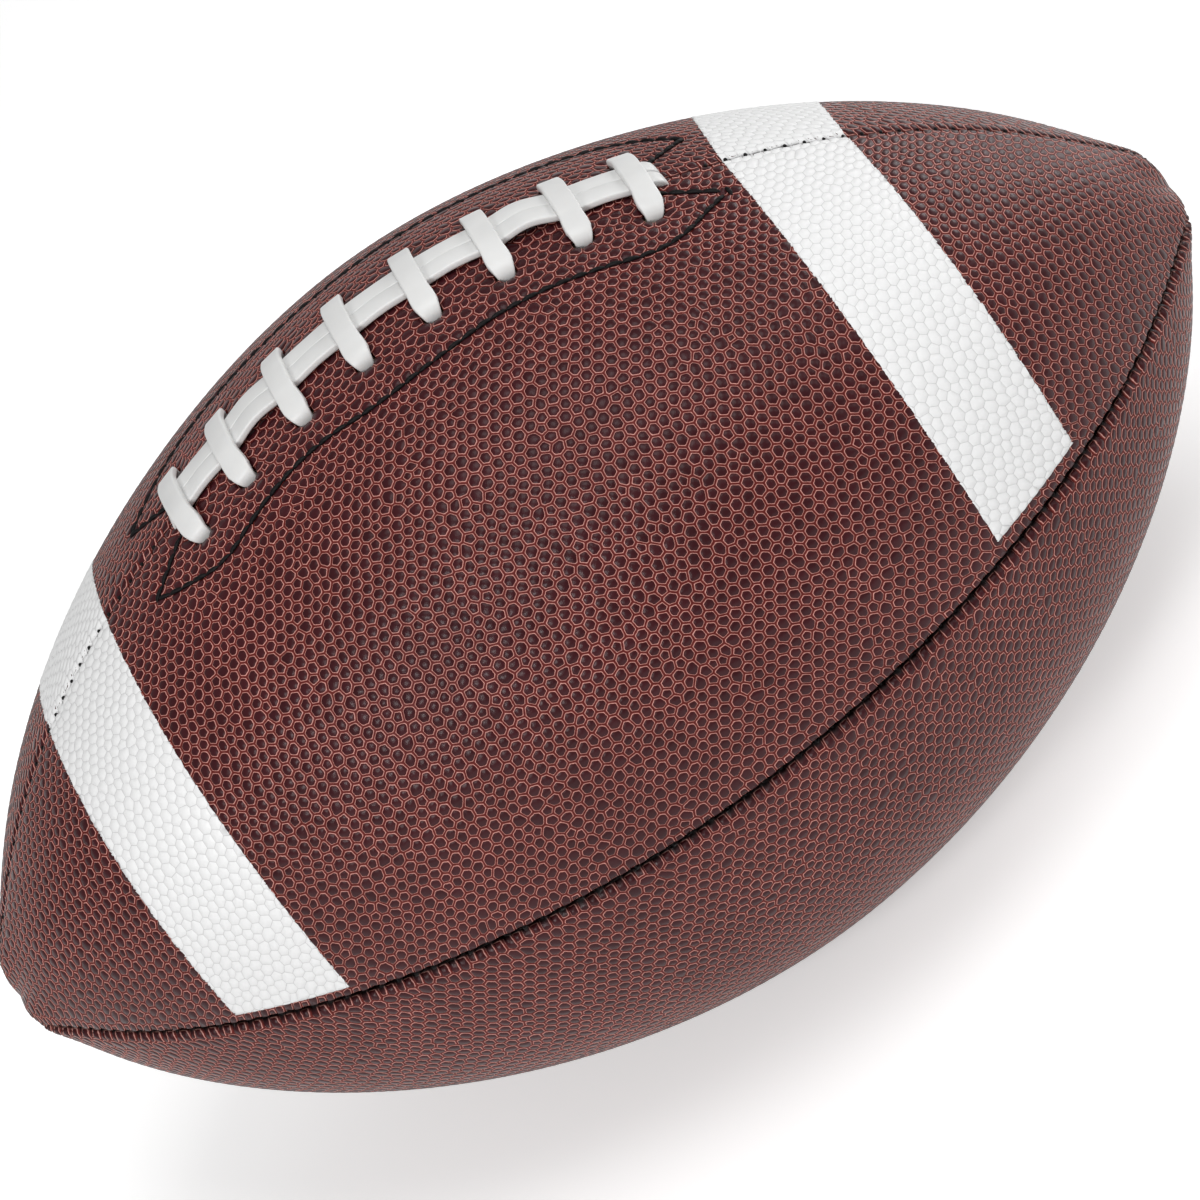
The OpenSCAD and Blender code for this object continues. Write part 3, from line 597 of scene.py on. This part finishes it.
def pebbledLeather():
    # embossed composite leather: very dark wine-red pebble tops, a salmon line round each, dull red valleys,
    # with painted light in the colours
    material, tree = newMaterial("pebbledCompositeLeather")
    toValley, tone, crease = [addNode(tree, "ShaderNodeAttribute", attribute_name=name).outputs["Fac"]
                              for name in ("toValley", "tone", "crease")]
    place = addNode(tree, "ShaderNodeTexCoord").outputs["Object"]
    grain, cloud = [addNode(tree, "ShaderNodeTexNoise", {"Vector": place, "Scale": 1 / (size * mm),
                                                         "Detail": 2.0}).outputs["Fac"] for size in (0.7, 38)]
    labels = ("Value", "From Min", "From Max", "To Min", "To Max")
    follows = dict(
        wander=(grain, 0.3, 0.7, -0.04, 0.04),  # how far the salmon line strays, in millimetres
        pebbleTone=(tone, 0, 1, 0.76, 1.04),
        cloudTone=(cloud, 0.3, 0.7, 0.93, 1.07),
        paintedSeamShade=(crease, 0.75, 1.6, 1, 0.03),  # painted shade: nearly black where the seams are deepest
        rough=(toValley, 0.2, 0.6, 0.45, 0.28),
        shine=(toValley, 0.1, 0.5, 0.1, 0.2),  # the tops shine more than the valleys
    )
    made = {name: addNode(tree, "ShaderNodeMapRange", dict(zip(labels, row))).outputs[0]
            for name, row in follows.items()}
    inward = addNode(tree, "ShaderNodeMath", {0: toValley, 1: made["wander"]}, operation="ADD").outputs[0]
    # painted light: the darker valley bottoms and the dark ring below each brow are painted shade, and the
    # salmon line is partly the leather's colour and partly a painted highlight
    base = addNode(tree, "ShaderNodeValToRGB", {"Fac": inward}, stops=[
        (0.0, "#541d1a"), (0.1, "#702c27"), (0.2, "#7a332e"), (0.24, "#dba69c"), (0.28, "#d79f94"),
        (0.32, "#5c1d1a"), (0.37, "#440f0d"), (0.44, "#3f1012"), (0.54, "#3c1318"), (1.0, "#3d161b"),
    ]).outputs[0]
    level = made["pebbleTone"]
    # the random tones and the painted shade of the seams scale the colour
    for name in ("cloudTone", "paintedSeamShade"):
        level = addNode(tree, "ShaderNodeMath", {0: level, 1: made[name]}, operation="MULTIPLY").outputs[0]
    color = addNode(tree, "ShaderNodeHueSaturation", {"Color": base, "Value": level}).outputs[0]
    closeMaterial(tree, {"Base Color": color, "Roughness": made["rough"], "Specular IOR Level": made["shine"],
                         "IOR": 1.5, "Normal": fineTexture(tree, 0.22, 3.0, 0.7, 0.06)})
    return material


def whiteInk():
    # screen-printed vinyl ink over the pebbles: bright and matte, with painted shade that greys the valleys a
    # little
    material, tree = newMaterial("whiteVinylInk")
    toValley = addNode(tree, "ShaderNodeAttribute", attribute_name="toValley").outputs["Fac"]
    # painted shade: the ramp greys the ink towards the valleys' bottoms
    base = addNode(tree, "ShaderNodeValToRGB", {"Fac": toValley}, stops=[
        (0.0, "#c4c3c3"), (0.2, "#d8d8d8"), (0.41, "#e9e9e9"), (1.0, "#ebebeb")]).outputs[0]
    closeMaterial(tree, {"Base Color": base, "Roughness": 0.5, "IOR": 1.48,
                         "Normal": fineTexture(tree, 0.3, 2.0, 0.2, 0.05)})
    return material


def waxedThread():
    # bonded black polyester: tight twist, faint wax shine
    material, tree = newMaterial("waxedPolyesterThread")
    place = addNode(tree, "ShaderNodeTexCoord").outputs["Object"]
    twist = addNode(tree, "ShaderNodeTexWave", {"Vector": place, "Scale": 1 / (2.2 * mm), "Distortion": 2.5},
                    bands_direction="DIAGONAL").outputs["Fac"]
    base = addNode(tree, "ShaderNodeValToRGB", {"Fac": twist}, stops=[(0.0, "#050505"), (1.0, "#121012")])
    bump = addNode(tree, "ShaderNodeBump", {"Height": twist, "Strength": 0.6, "Distance": 0.1 * mm})
    closeMaterial(tree, {"Base Color": base.outputs[0], "Roughness": 0.6, "Specular IOR Level": 0.2,
                         "Normal": bump.outputs[0]})
    return material


def laceVinyl():
    # cast vinyl strap: smooth and soft white, and the light goes a little way into it
    material, tree = newMaterial("laceVinyl")
    place = addNode(tree, "ShaderNodeTexCoord").outputs["Object"]
    smudge = addNode(tree, "ShaderNodeTexNoise", {"Vector": place, "Scale": 1 / (9 * mm), "Detail": 3.0})
    base = addNode(tree, "ShaderNodeValToRGB", {"Fac": smudge.outputs["Fac"]},
                   stops=[(0.3, "#dadad9"), (0.7, "#e2e2e1")])
    closeMaterial(tree, {"Base Color": base.outputs[0], "Roughness": 0.42, "IOR": 1.5,
                         "Normal": fineTexture(tree, 0.5, 3.0, 0.12, 0.05), "Subsurface Weight": 0.08,
                         "Subsurface Radius": (0.9 * mm, 0.8 * mm, 0.7 * mm), "Subsurface Scale": 1.0})
    return material


def wovenLining():
    # laminated cotton: a pale, dull weave with threads about 1 mm apart
    material, tree = newMaterial("laminatedCotton")
    place = addNode(tree, "ShaderNodeTexCoord").outputs["Object"]
    warp, weft = [addNode(tree, "ShaderNodeTexWave", {"Vector": place, "Scale": 1 / (3.1 * mm)},
                          bands_direction=way).outputs["Fac"] for way in ("X", "DIAGONAL")]
    weave = addNode(tree, "ShaderNodeMath", {0: warp, 1: weft}, operation="MULTIPLY").outputs[0]
    base = addNode(tree, "ShaderNodeValToRGB", {"Fac": weave}, stops=[(0.0, "#a89d80"), (1.0, "#d8cdb2")])
    bump = addNode(tree, "ShaderNodeBump", {"Height": weave, "Strength": 0.5, "Distance": 0.1 * mm})
    closeMaterial(tree, {"Base Color": base.outputs[0], "Roughness": 0.85, "Normal": bump.outputs[0]})
    return material


def mouldedRubber(name, dark, light, roughness):
    # moulded rubber: dull, with a fine bloom and a sandblasted mould's texture
    material, tree = newMaterial(name)
    place = addNode(tree, "ShaderNodeTexCoord").outputs["Object"]
    bloom = addNode(tree, "ShaderNodeTexNoise", {"Vector": place, "Scale": 1 / (6 * mm), "Detail": 4.0})
    base = addNode(tree, "ShaderNodeValToRGB", {"Fac": bloom.outputs["Fac"]},
                   stops=[(0.3, dark), (0.75, light)])
    closeMaterial(tree, {"Base Color": base.outputs[0], "Roughness": roughness, "IOR": 1.52,
                         "Normal": fineTexture(tree, 0.3, 2.0, 0.2, 0.06)})
    return material


leather, inkWhite, blackThread, vinyl = pebbledLeather(), whiteInk(), waxedThread(), laceVinyl()
print("materials made")

# the four panels
panels = {}
for node, layout in covers.items():
    panels[node] = pebbledPanel("cover_" + node, **layout)
for node, panel in panels.items():
    panel.data.materials.append(leather)
    finishPiece(panel, "cover_leather", node)


# white stripes: a film of ink over the panel's own pebbles
stripe = dict(
    width=23.2, rightTip=51.4, leftTip=42.3, rightEdge=4.2, leftEdge=2.9,
    lift=0.13, film=0.11, fill=0.12, widen=0.6, ragged=0.16, seed=5,
    farLean=0.07,  # the far right stripe was printed a little askew
)


def inkLevels(work, step):
    # the ink fills the valleys a little and widens the pebbles' tops, so only thin lines show
    moves = []
    for vertex in work.verts:
        if vertex[step] < 0.5:
            moves.append((vertex, vertex.co + vertex.normal * stripe["fill"] * mm))
        elif vertex[step] < 1.5:
            others = [edge.other_vert(vertex) for edge in vertex.link_edges]
            valleys = [other for other in others if other[step] < 0.5]
            if valleys:
                level = (valleys[0].co - vertex.co).dot(vertex.normal)
                beside = valleys[0].co - vertex.normal * level
                moves.append((vertex, vertex.co.lerp(beside, stripe["widen"])))
    for vertex, place in moves:
        vertex.co = place


def whiteStripe(name, panel, side, near):
    outer = ball["halfLength"] - stripe["rightTip" if side > 0 else "leftTip"]
    limits = sorted((side * outer, side * (outer - stripe["width"])))
    lowerEdge = centreZ + stripe["rightEdge" if side > 0 else "leftEdge"]
    lean = 0 if near or side < 0 else stripe["farLean"]
    work = bmesh.new()
    work.from_mesh(panel.data)
    step = work.verts.layers.float["step"]
    bmesh.ops.delete(work, geom=[v for v in work.verts if v[step] < -0.5], context="VERTS")
    work.normal_update()
    inkLevels(work, step)
    for place, keepSide in (((limits[0] * mm, 0, 0), (1, -lean, 0)), ((limits[1] * mm, 0, 0), (-1, lean, 0)),
                            ((0, 0, lowerEdge * mm), (0, 0, 1))):
        geometry = work.verts[:] + work.edges[:] + work.faces[:]
        bmesh.ops.bisect_plane(work, geom=geometry, dist=1e-8, plane_co=place, plane_no=keepSide,
                               clear_inner=True)
    work.normal_update()
    rng = np.random.default_rng(stripe["seed"])
    moves = rng.uniform(-1, 1, len(work.verts)) * stripe["ragged"] * mm
    for vertex, move in zip(work.verts, moves):
        atCut = min(abs(vertex.co.x - lean * vertex.co.y - limit * mm) for limit in limits) < tiny
        vertex.co += vertex.normal * (stripe["lift"] * mm)
        if atCut:
            vertex.co.x += move
    mesh = bpy.data.meshes.new(name)
    work.to_mesh(mesh)
    work.free()
    piece = addObject(name, mesh)
    film = piece.modifiers.new("film", "SOLIDIFY")
    film.thickness = stripe["film"] * mm
    film.offset = -1
    keepModified(piece)
    piece.data.materials.clear()
    piece.data.materials.append(inkWhite)
    return piece


for side, end in ((1, "right"), (-1, "left")):
    for place in ("near", "far"):
        node = f"stripe_{place}_{end}"
        coating = whiteStripe("coating_" + node, panels["panel_top_" + place], side, place == "near")
        finishPiece(coating, "white_coating", node)


# stitches
stitchForm = dict(bends=7, sides=8, taper=0.4, tip=0.35)
sideSeam = dict(pitch=seams["pitch"], depth=2.0, gap=None,
                sizes={"Length": 2.6, "Thickness": 0.8, "Dip": 0.25, "Variation": 0.25})
laceSeam = dict(pitch=seams["lacePitch"], depth=0.45, gap=lacing["slit"],
                sizes={"Length": 1.0, "Thickness": 0.85, "Dip": 0.1, "Variation": 0.25})
facingSeam = dict(pitch=3.4, depth=0.28, step=0.8,
                  sizes={"Length": 3.672, "Thickness": 1.05, "Dip": 0.3, "Variation": 0.12})


def stitchTree():
    # one bowed stitch, thinner to its ends, on every point of a path
    tree = bpy.data.node_groups.new("stitches", "GeometryNodeTree")
    given = treeInputs(tree, {"Length": "Float", "Thickness": "Float", "Dip": "Float", "Variation": "Float",
                              "Seed": "Int", "Thread": "Material"})
    half, back, down, radius = [
        addNode(tree, "ShaderNodeMath", {0: given[label], 1: factor}, operation="MULTIPLY").outputs[0]
        for label, factor in (("Length", 0.5), ("Length", -0.5), ("Dip", -1.0), ("Thickness", 0.5))]
    start, crest, stop = [addNode(tree, "ShaderNodeCombineXYZ", sides).outputs[0]
                          for sides in ({"X": back, "Z": down}, {"Z": given["Dip"]}, {"X": half, "Z": down})]
    bow = addNode(tree, "GeometryNodeCurveQuadraticBezier", {
        "Resolution": stitchForm["bends"], "Start": start, "Middle": crest, "End": stop}).outputs[0]
    circle = addNode(tree, "GeometryNodeCurvePrimitiveCircle", {"Resolution": stitchForm["sides"],
                                                                "Radius": radius}).outputs[0]
    belly = addNode(tree, "GeometryNodeSplineParameter").outputs["Factor"]
    for operation, values in (("MULTIPLY", {1: math.pi}), ("SINE", {}), ("POWER", {1: stitchForm["taper"]})):
        belly = addNode(tree, "ShaderNodeMath", {0: belly, **values}, operation=operation).outputs[0]
    belly = addNode(tree, "ShaderNodeMapRange", {"Value": belly, "To Min": stitchForm["tip"],
                                                 "To Max": 1.0}).outputs[0]
    body = addNode(tree, "GeometryNodeCurveToMesh", {"Curve": bow, "Profile Curve": circle, "Scale": belly,
                                                     "Fill Caps": True}).outputs[0]
    smooth = addNode(tree, "GeometryNodeSetShadeSmooth", {"Geometry": body}).outputs[0]
    along, outward = [
        addNode(tree, "GeometryNodeInputNamedAttribute", {"Name": label}, data_type="FLOAT_VECTOR").outputs[0]
        for label in ("along", "outward")]
    turn = addNode(tree, "FunctionNodeAxesToRotation", {"Primary Axis": along, "Secondary Axis": outward},
                   primary_axis="X", secondary_axis="Z").outputs[0]
    least = addNode(tree, "ShaderNodeMath", {0: 1.0, 1: given["Variation"]}, operation="SUBTRACT").outputs[0]
    size = addNode(tree, "FunctionNodeRandomValue", {2: least, 3: 1.0, "Seed": given["Seed"]},
                   data_type="FLOAT").outputs[1]
    placed = addNode(tree, "GeometryNodeInstanceOnPoints", {
        "Points": given["Geometry"], "Instance": smooth, "Rotation": turn, "Scale": size}).outputs[0]
    solid = addNode(tree, "GeometryNodeRealizeInstances", {"Geometry": placed}).outputs[0]
    done = addNode(tree, "GeometryNodeSetMaterial", {"Geometry": solid, "Material": given["Thread"]})
    addNode(tree, "NodeGroupOutput", {"Geometry": done.outputs[0]})
    return tree


stitchNodes = stitchTree()


def stitchPiece(name, points, along, outward, sizes, seed):
    piece = makeObject(name, points, [], {"along": along, "outward": outward})
    values = {label: sizes[label] * mm for label in ("Length", "Thickness", "Dip")}
    values.update({"Variation": sizes["Variation"], "Seed": seed, "Thread": blackThread})
    return applyTree(piece, stitchNodes, values)


def seamStitches(name, seam, angle, seed):
    # each stitch lies across its seam
    count = int((edgeLength[-1] - seams["tipRoom"]) / seam["pitch"])
    s = np.interp(np.arange(-count, count + 1) * seam["pitch"], edgeLength, chartS)
    if seam["gap"]:
        x = s * ball["halfLength"]
        s = s[(x < seam["gap"][0]) | (x > seam["gap"][1])]
    across = np.tile([0, -math.cos(angle), -math.sin(angle)], (len(s), 1))
    outward = np.tile([0, -math.sin(angle), math.cos(angle)], (len(s), 1))
    return stitchPiece(name, skinPoint(s, angle, seam["depth"]), across, outward, seam["sizes"], seed)


def facingStitches(name, side, seed):
    # the stitches follow each other along the facing's line
    x, arc = facingLine(side < 0)
    reach = runningLength(arcPoint(x, side * arc, 0))
    at = np.arange(facingSeam["pitch"] / 2, reach[-1], facingSeam["pitch"])
    sx, sa = np.interp(at, reach, x), np.interp(at, reach, arc)
    behind, ahead = [arcPoint(np.interp(at + step, reach, x), side * np.interp(at + step, reach, arc), 0)
                     for step in (-facingSeam["step"], facingSeam["step"])]
    outward = surfaceFrame(sx, side * sa)[2]
    points = arcPoint(sx, side * sa, -facingSeam["depth"])
    return stitchPiece(name, points, unit(ahead - behind), outward, facingSeam["sizes"], seed)


for label, seam, angle, seed in (("near", sideSeam, math.pi / 2, 0), ("far", sideSeam, -math.pi / 2, 1),
                                 ("bottom", sideSeam, math.pi, 2), ("top", laceSeam, 0.0, 7)):
    stitches = seamStitches("stitching_seam_" + label, seam, angle, seed)
    finishPiece(stitches, "black_thread", "seam_thread_" + label)
for label, side, seed in (("near", 1, 20), ("far", -1, 21)):
    stitches = facingStitches("stitching_facing_" + label, side, seed)
    finishPiece(stitches, "black_thread", "facing_stitch_" + label)
print("stitches made")


# the lace: one strap
strap = dict(
    width=4.8, thick=1.5, corner=0.42, cornerPoints=4, spacing=0.55,
    pinchWidth=0.4, pinchThick=0.3,  # what a fully bunched strap loses in width and gains in thickness
    lift=0.25, wrapLift=0.1,  # of the runs over the leather, and of the wraps over the runs
    lowHeight=-4.4, innerHeight=-6.0, squareTurn=0.55, passBack=3.95,  # where it passes under the panels
    endTurnSteps=6, slantTurnSteps=9,
    runWidth=5.2, runArc=2.6, leftEnd=-57.0, rightEnd=58.8, runPoints=64,
    bows=(0.2, 0.8, 0.1, 0.1, 0.2, 1.2, 0.2), extraBow=0.15,  # how high the runs bow between each two wraps
    # a run's bend down into the slit: distance before its end, fall and pinch
    dive=((3.2, 0, 0), (1.5, 0.2, 0), (0.4, 0.9, 0.25), (0, 2.0, 0.5)),
    # and on from there: share of the way to the low height, turn of its width and pinch
    sinking=((0.5, 50, 0.5), (0.8, 20, 0.4)),
    # half a wrap, from its hole almost to its middle: share of the hole's arc, height and pinch
    halfWrap=((1.0, -4.4, 0.9), (1.0, -2.4, 0.9), (1.01, -1.2, 0.75), (1.0, -0.2, 0.4), (0.955, 0.55, 0.08),
              (0.88, 1.0, -0.08), (0.74, 1.5, -0.08), (0.57, 2.05, 0), (0.44, 2.4, 0)),
)


def turnUnder(share):
    # on a squarish half turn below the panels: place across it, from 1 to -1, and how far down it is
    t = math.pi * share
    across = math.copysign(abs(math.cos(t)) ** strap["squareTurn"], math.cos(t))
    return across, max(math.sin(t), 0) ** strap["squareTurn"]


def laceRun(way, arc, height, extra):
    # along the top from one end to the other, its width across the ball, with a bow between each two wraps
    before = strap["dive"][0][0]
    ends = (strap["leftEnd"] + before, strap["rightEnd"] - before)[::way]
    steps = []
    for k in range(1, strap["runPoints"]):
        x = mix(ends[0], ends[1], k / strap["runPoints"])
        span = np.clip(np.searchsorted(wrapX, x) - 1, 0, len(wrapX) - 2)
        near = min(abs(x - wrapX[span]), abs(x - wrapX[span + 1]))
        bow = math.sin(math.pi * near / (wrapX[span + 1] - wrapX[span])) if wrapX[0] < x < wrapX[-1] else 0
        rise = (strap["bows"][span] + extra) * bow * bow
        steps.append((x, arc, height + rise, 90, 1 - strap["runWidth"] / strap["width"]))
    return steps


def laceRoute():
    # steps along the strap: x, arc, height, angle of its width to the ball's length, and how bunched it is
    holeArc, runArc, low, inner = lacing["holeArc"], strap["runArc"], strap["lowHeight"], strap["innerHeight"]
    left, right = strap["leftEnd"], strap["rightEnd"]
    runHeight = strap["lift"] + strap["thick"] / 2
    wrapHeight = runHeight + strap["thick"] + strap["wrapLift"]

    def dive(x, way, arc):
        down = [(x - way * before, arc, runHeight - fall, 90, pinch) for before, fall, pinch in strap["dive"]]
        return down + [(x, arc, mix(down[-1][2], low, share), turn, pinch)
                       for share, turn, pinch in strap["sinking"]]

    # the near run, the turn under the slit's right end, and the far run back
    steps = [(left, runArc, low - strap["thick"] / 2, 0, 0.3)] + dive(left, -1, runArc)[::-1]
    steps += laceRun(1, runArc, runHeight, strap["extraBow"]) + dive(right, 1, runArc)
    for k in range(strap["endTurnSteps"] + 1):
        across, down = turnUnder(k / strap["endTurnSteps"])
        steps.append((right, runArc * across, mix(low, inner, down), 0, 0.2))
    steps += dive(right, 1, -runArc)[::-1]
    steps += laceRun(-1, -runArc, runHeight, -strap["extraBow"]) + dive(left, -1, -runArc)
    # inside, round behind the slit's left end and over to the first near hole
    back = left - strap["passBack"]
    steps += [(left - 0.8, -runArc, (low + inner) / 2, 0, 0.3),
              (mix(left, back, 0.7), -runArc * 0.8, inner, 0, 0),
              (back, runArc / 3, inner, 0, 0), (back, runArc + 0.8, inner, 0, 0),
              (mix(back, wrapX[0], 0.5), (runArc + holeArc) / 2, inner, 0, 0),
              (mix(back, wrapX[0], 0.85), holeArc - 0.8, mix(inner, low, 0.3), 0, 0.3)]
    # eight wraps over the runs, with a slanting turn inside from each to the next
    up = list(strap["halfWrap"]) + [(0.3, wrapHeight - 0.05, 0)]
    over = up + [(0, wrapHeight, 0)] + [(-share, height, max(pinch, 0)) for share, height, pinch in up[::-1]]
    for i, (near, far) in enumerate(zip(lacing["nearX"], lacing["farX"])):
        steps += [(mix(far, near, (share + 1) / 2), holeArc * share, height, 0, pinch)
                  for share, height, pinch in over]
        if i < len(wrapX) - 1:
            following = lacing["nearX"][i + 1]
            slant = -math.degrees(math.atan((following - far) / (2 * holeArc)))
            for k in range(1, strap["slantTurnSteps"]):
                share = k / strap["slantTurnSteps"]
                across, down = turnUnder(share)
                steps.append((mix(far, following, (1 - across) / 2), -holeArc * across, mix(low, inner, down),
                              slant * math.sin(math.pi * share), 0.6 * (1 - down)))
    # the loose end, tucked under the far panel
    steps += [(far, -holeArc + 0.8, low - 1.2, 0, 0.6), (far, -holeArc + 2.4, inner, 0, 0),
              (far, -holeArc + 8.6, inner, 0, 0)]
    return np.array(steps)


def lacePiece():
    x, arc, height, angle, bunched = laceRoute().T
    arc = arc + lacing["shift"]
    places = arcPoint(x, arc, height)
    ahead, aside, _ = surfaceFrame(x, arc)
    angle = np.radians(angle)[:, None]
    widths = ahead * np.cos(angle) + aside * np.sin(angle)
    # a smooth path through the route's steps
    reach = runningLength(places)
    fine = np.arange(0, reach[-1], strap["spacing"])
    path = np.stack([smoothThrough(reach, places[:, k], fine) for k in range(3)], -1)
    across = np.stack([np.interp(fine, reach, widths[:, k]) for k in range(3)], -1)
    pinch = np.interp(fine, reach, bunched)
    along = unit(np.gradient(path, axis=0))
    across = unit(across - along * (across * along).sum(1, keepdims=True))
    up = np.cross(along, across)
    # a flat section with rounded corners, swept along the path
    corner, cornerPoints = strap["corner"], strap["cornerPoints"]
    quarter = np.linspace(0, math.pi / 2, cornerPoints)
    turns = np.concatenate([quarter + k * math.pi / 2 for k in range(4)])
    signX = np.repeat([1, -1, -1, 1], cornerPoints)
    signY = np.repeat([1, 1, -1, -1], cornerPoints)
    halfW = strap["width"] / 2 * (1 - np.where(pinch < 0, 1, strap["pinchWidth"]) * pinch)
    halfT = strap["thick"] / 2 * (1 + strap["pinchThick"] * np.maximum(pinch, 0))
    px = signX * (halfW[:, None] - corner) + corner * np.cos(turns)
    py = signY * (halfT[:, None] - corner) + corner * np.sin(turns)
    rings = path[:, None] + across[:, None] * px[..., None] + up[:, None] * py[..., None]
    count, sides = len(path), len(turns)
    faces = []
    for i in range(count - 1):
        for j in range(sides):
            k = (j + 1) % sides
            faces.append((i * sides + j, i * sides + k, (i + 1) * sides + k, (i + 1) * sides + j))
    faces.append(tuple(range(sides))[::-1])
    faces.append(tuple(range((count - 1) * sides, count * sides)))
    return makeObject("lace_strap", rings.reshape(-1, 3), faces)


lace = lacePiece()
lace.data.materials.append(vinyl)
finishPiece(lace, "lace_strap", "lace")


# inside the ball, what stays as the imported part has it
cotton = wovenLining()
facingCloth = mouldedRubber("coatedFacingCloth", "#2f2a28", "#453d39", 0.8)
hidden = {
    "tongue": mouldedRubber("tongueRubber", "#232224", "#37353a", 0.6),
    "bladder": mouldedRubber("butylBladder", "#2f2e31", "#4a484d", 0.7),
    "valve_body": mouldedRubber("valveRubber", "#1c1b1d", "#2c2a2d", 0.55),
    "valve_core": mouldedRubber("coreRubber", "#0f0f10", "#1c1b1d", 0.5),
    "facing_near": facingCloth, "facing_far": facingCloth,
}
hidden.update({name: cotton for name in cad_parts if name.startswith("lining")})
for name, material in hidden.items():
    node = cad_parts[name]
    node.data.materials.clear()
    node.data.materials.append(material)


# floor, light and camera
studio = dict(
    floorHalf=6, paper="#f4f4f4", white="#ffffff", paperGlow=0.35, seenWorld=1.0, worldLight=0.3,
    target=(0, 0, 0.08),
    boxes=dict(  # place and size in metres, and power in watts
        frontLeft=((-0.64, -1.08, 0.86), (0.4, 0.4), 9.4),
        frontRight=((1.35, -0.5, 0.85), (0.5, 0.5), 2.4),
        backRight=((1.07, 0.68, 0.45), (0.8, 0.5), 5.5),
        overhead=((0.3, -0.3, 1.4), (0.8, 0.8), 7.5),
    ),
)
view = dict(
    place=(23.4, -581.8, 491.4), lens=103.53, sensor=36, nearest=50,
    ahead=(-0.031878, 0.816153, -0.576957), right=(0.81744, -0.31087, -0.484926),
)


def whiteFloor():
    # matte paper: its glow shows to the camera and in reflections only, and it still takes a shadow
    half = studio["floorHalf"]
    mesh = bpy.data.meshes.new("floor")
    mesh.from_pydata([(x * half, y * half, 0) for x, y in ((-1, -1), (1, -1), (1, 1), (-1, 1))], [],
                     [(0, 1, 2, 3)])
    paper, tree = newMaterial("whitePaper")
    ray = addNode(tree, "ShaderNodeLightPath").outputs
    seen = addNode(tree, "ShaderNodeMath", {0: ray["Is Camera Ray"], 1: ray["Is Glossy Ray"]},
                   operation="MAXIMUM").outputs[0]
    glow = addNode(tree, "ShaderNodeMath", {0: seen, 1: studio["paperGlow"]}, operation="MULTIPLY").outputs[0]
    closeMaterial(tree, {"Base Color": linearColor(studio["paper"]), "Roughness": 0.9,
                         "Emission Color": linearColor(studio["white"]), "Emission Strength": glow})
    mesh.materials.append(paper)
    return addObject("floor", mesh)


def studioWorld():
    world = bpy.data.worlds.new("studio")
    world.use_nodes = True
    tree = world.node_tree
    tree.nodes.clear()
    ray = addNode(tree, "ShaderNodeLightPath").outputs["Is Camera Ray"]
    around, seen = [addNode(tree, "ShaderNodeBackground", {"Color": linearColor(studio["white"]),
                                                           "Strength": strength}).outputs[0]
                    for strength in (studio["worldLight"], studio["seenWorld"])]
    both = addNode(tree, "ShaderNodeMixShader", {0: ray, 1: around, 2: seen}).outputs[0]
    addNode(tree, "ShaderNodeOutputWorld", {"Surface": both})
    return world


def softbox(name, place, size, power):
    light = bpy.data.lights.new(name, "AREA")
    light.shape = "RECTANGLE"
    light.size, light.size_y = size
    light.energy = power
    lamp = addObject(name, light)
    lamp.location = place
    lamp.rotation_euler = (Vector(studio["target"]) - Vector(place)).to_track_quat("-Z", "Y").to_euler()


def photoCamera():
    # tilted as the photograph is: its right-hand direction is squared to the way that it looks
    ahead, right = Vector(view["ahead"]).normalized(), Vector(view["right"])
    right = (right - ahead * right.dot(ahead)).normalized()
    data = bpy.data.cameras.new("camera")
    data.lens, data.sensor_width = view["lens"], view["sensor"]
    data.clip_start = view["nearest"] * mm
    camera = addObject("camera", data)
    turn = Matrix((right, right.cross(ahead), -ahead)).transposed()
    camera.matrix_world = Matrix.Translation(Vector(view["place"]) * mm) @ turn.to_4x4()
    return camera


floor = whiteFloor()
bpy.context.scene.world = studioWorld()
for name, (place, size, power) in studio["boxes"].items():
    softbox(name, place, size, power)
bpy.context.scene.camera = photoCamera()
bpy.context.scene.view_settings.view_transform = "Standard"
print("studio set")
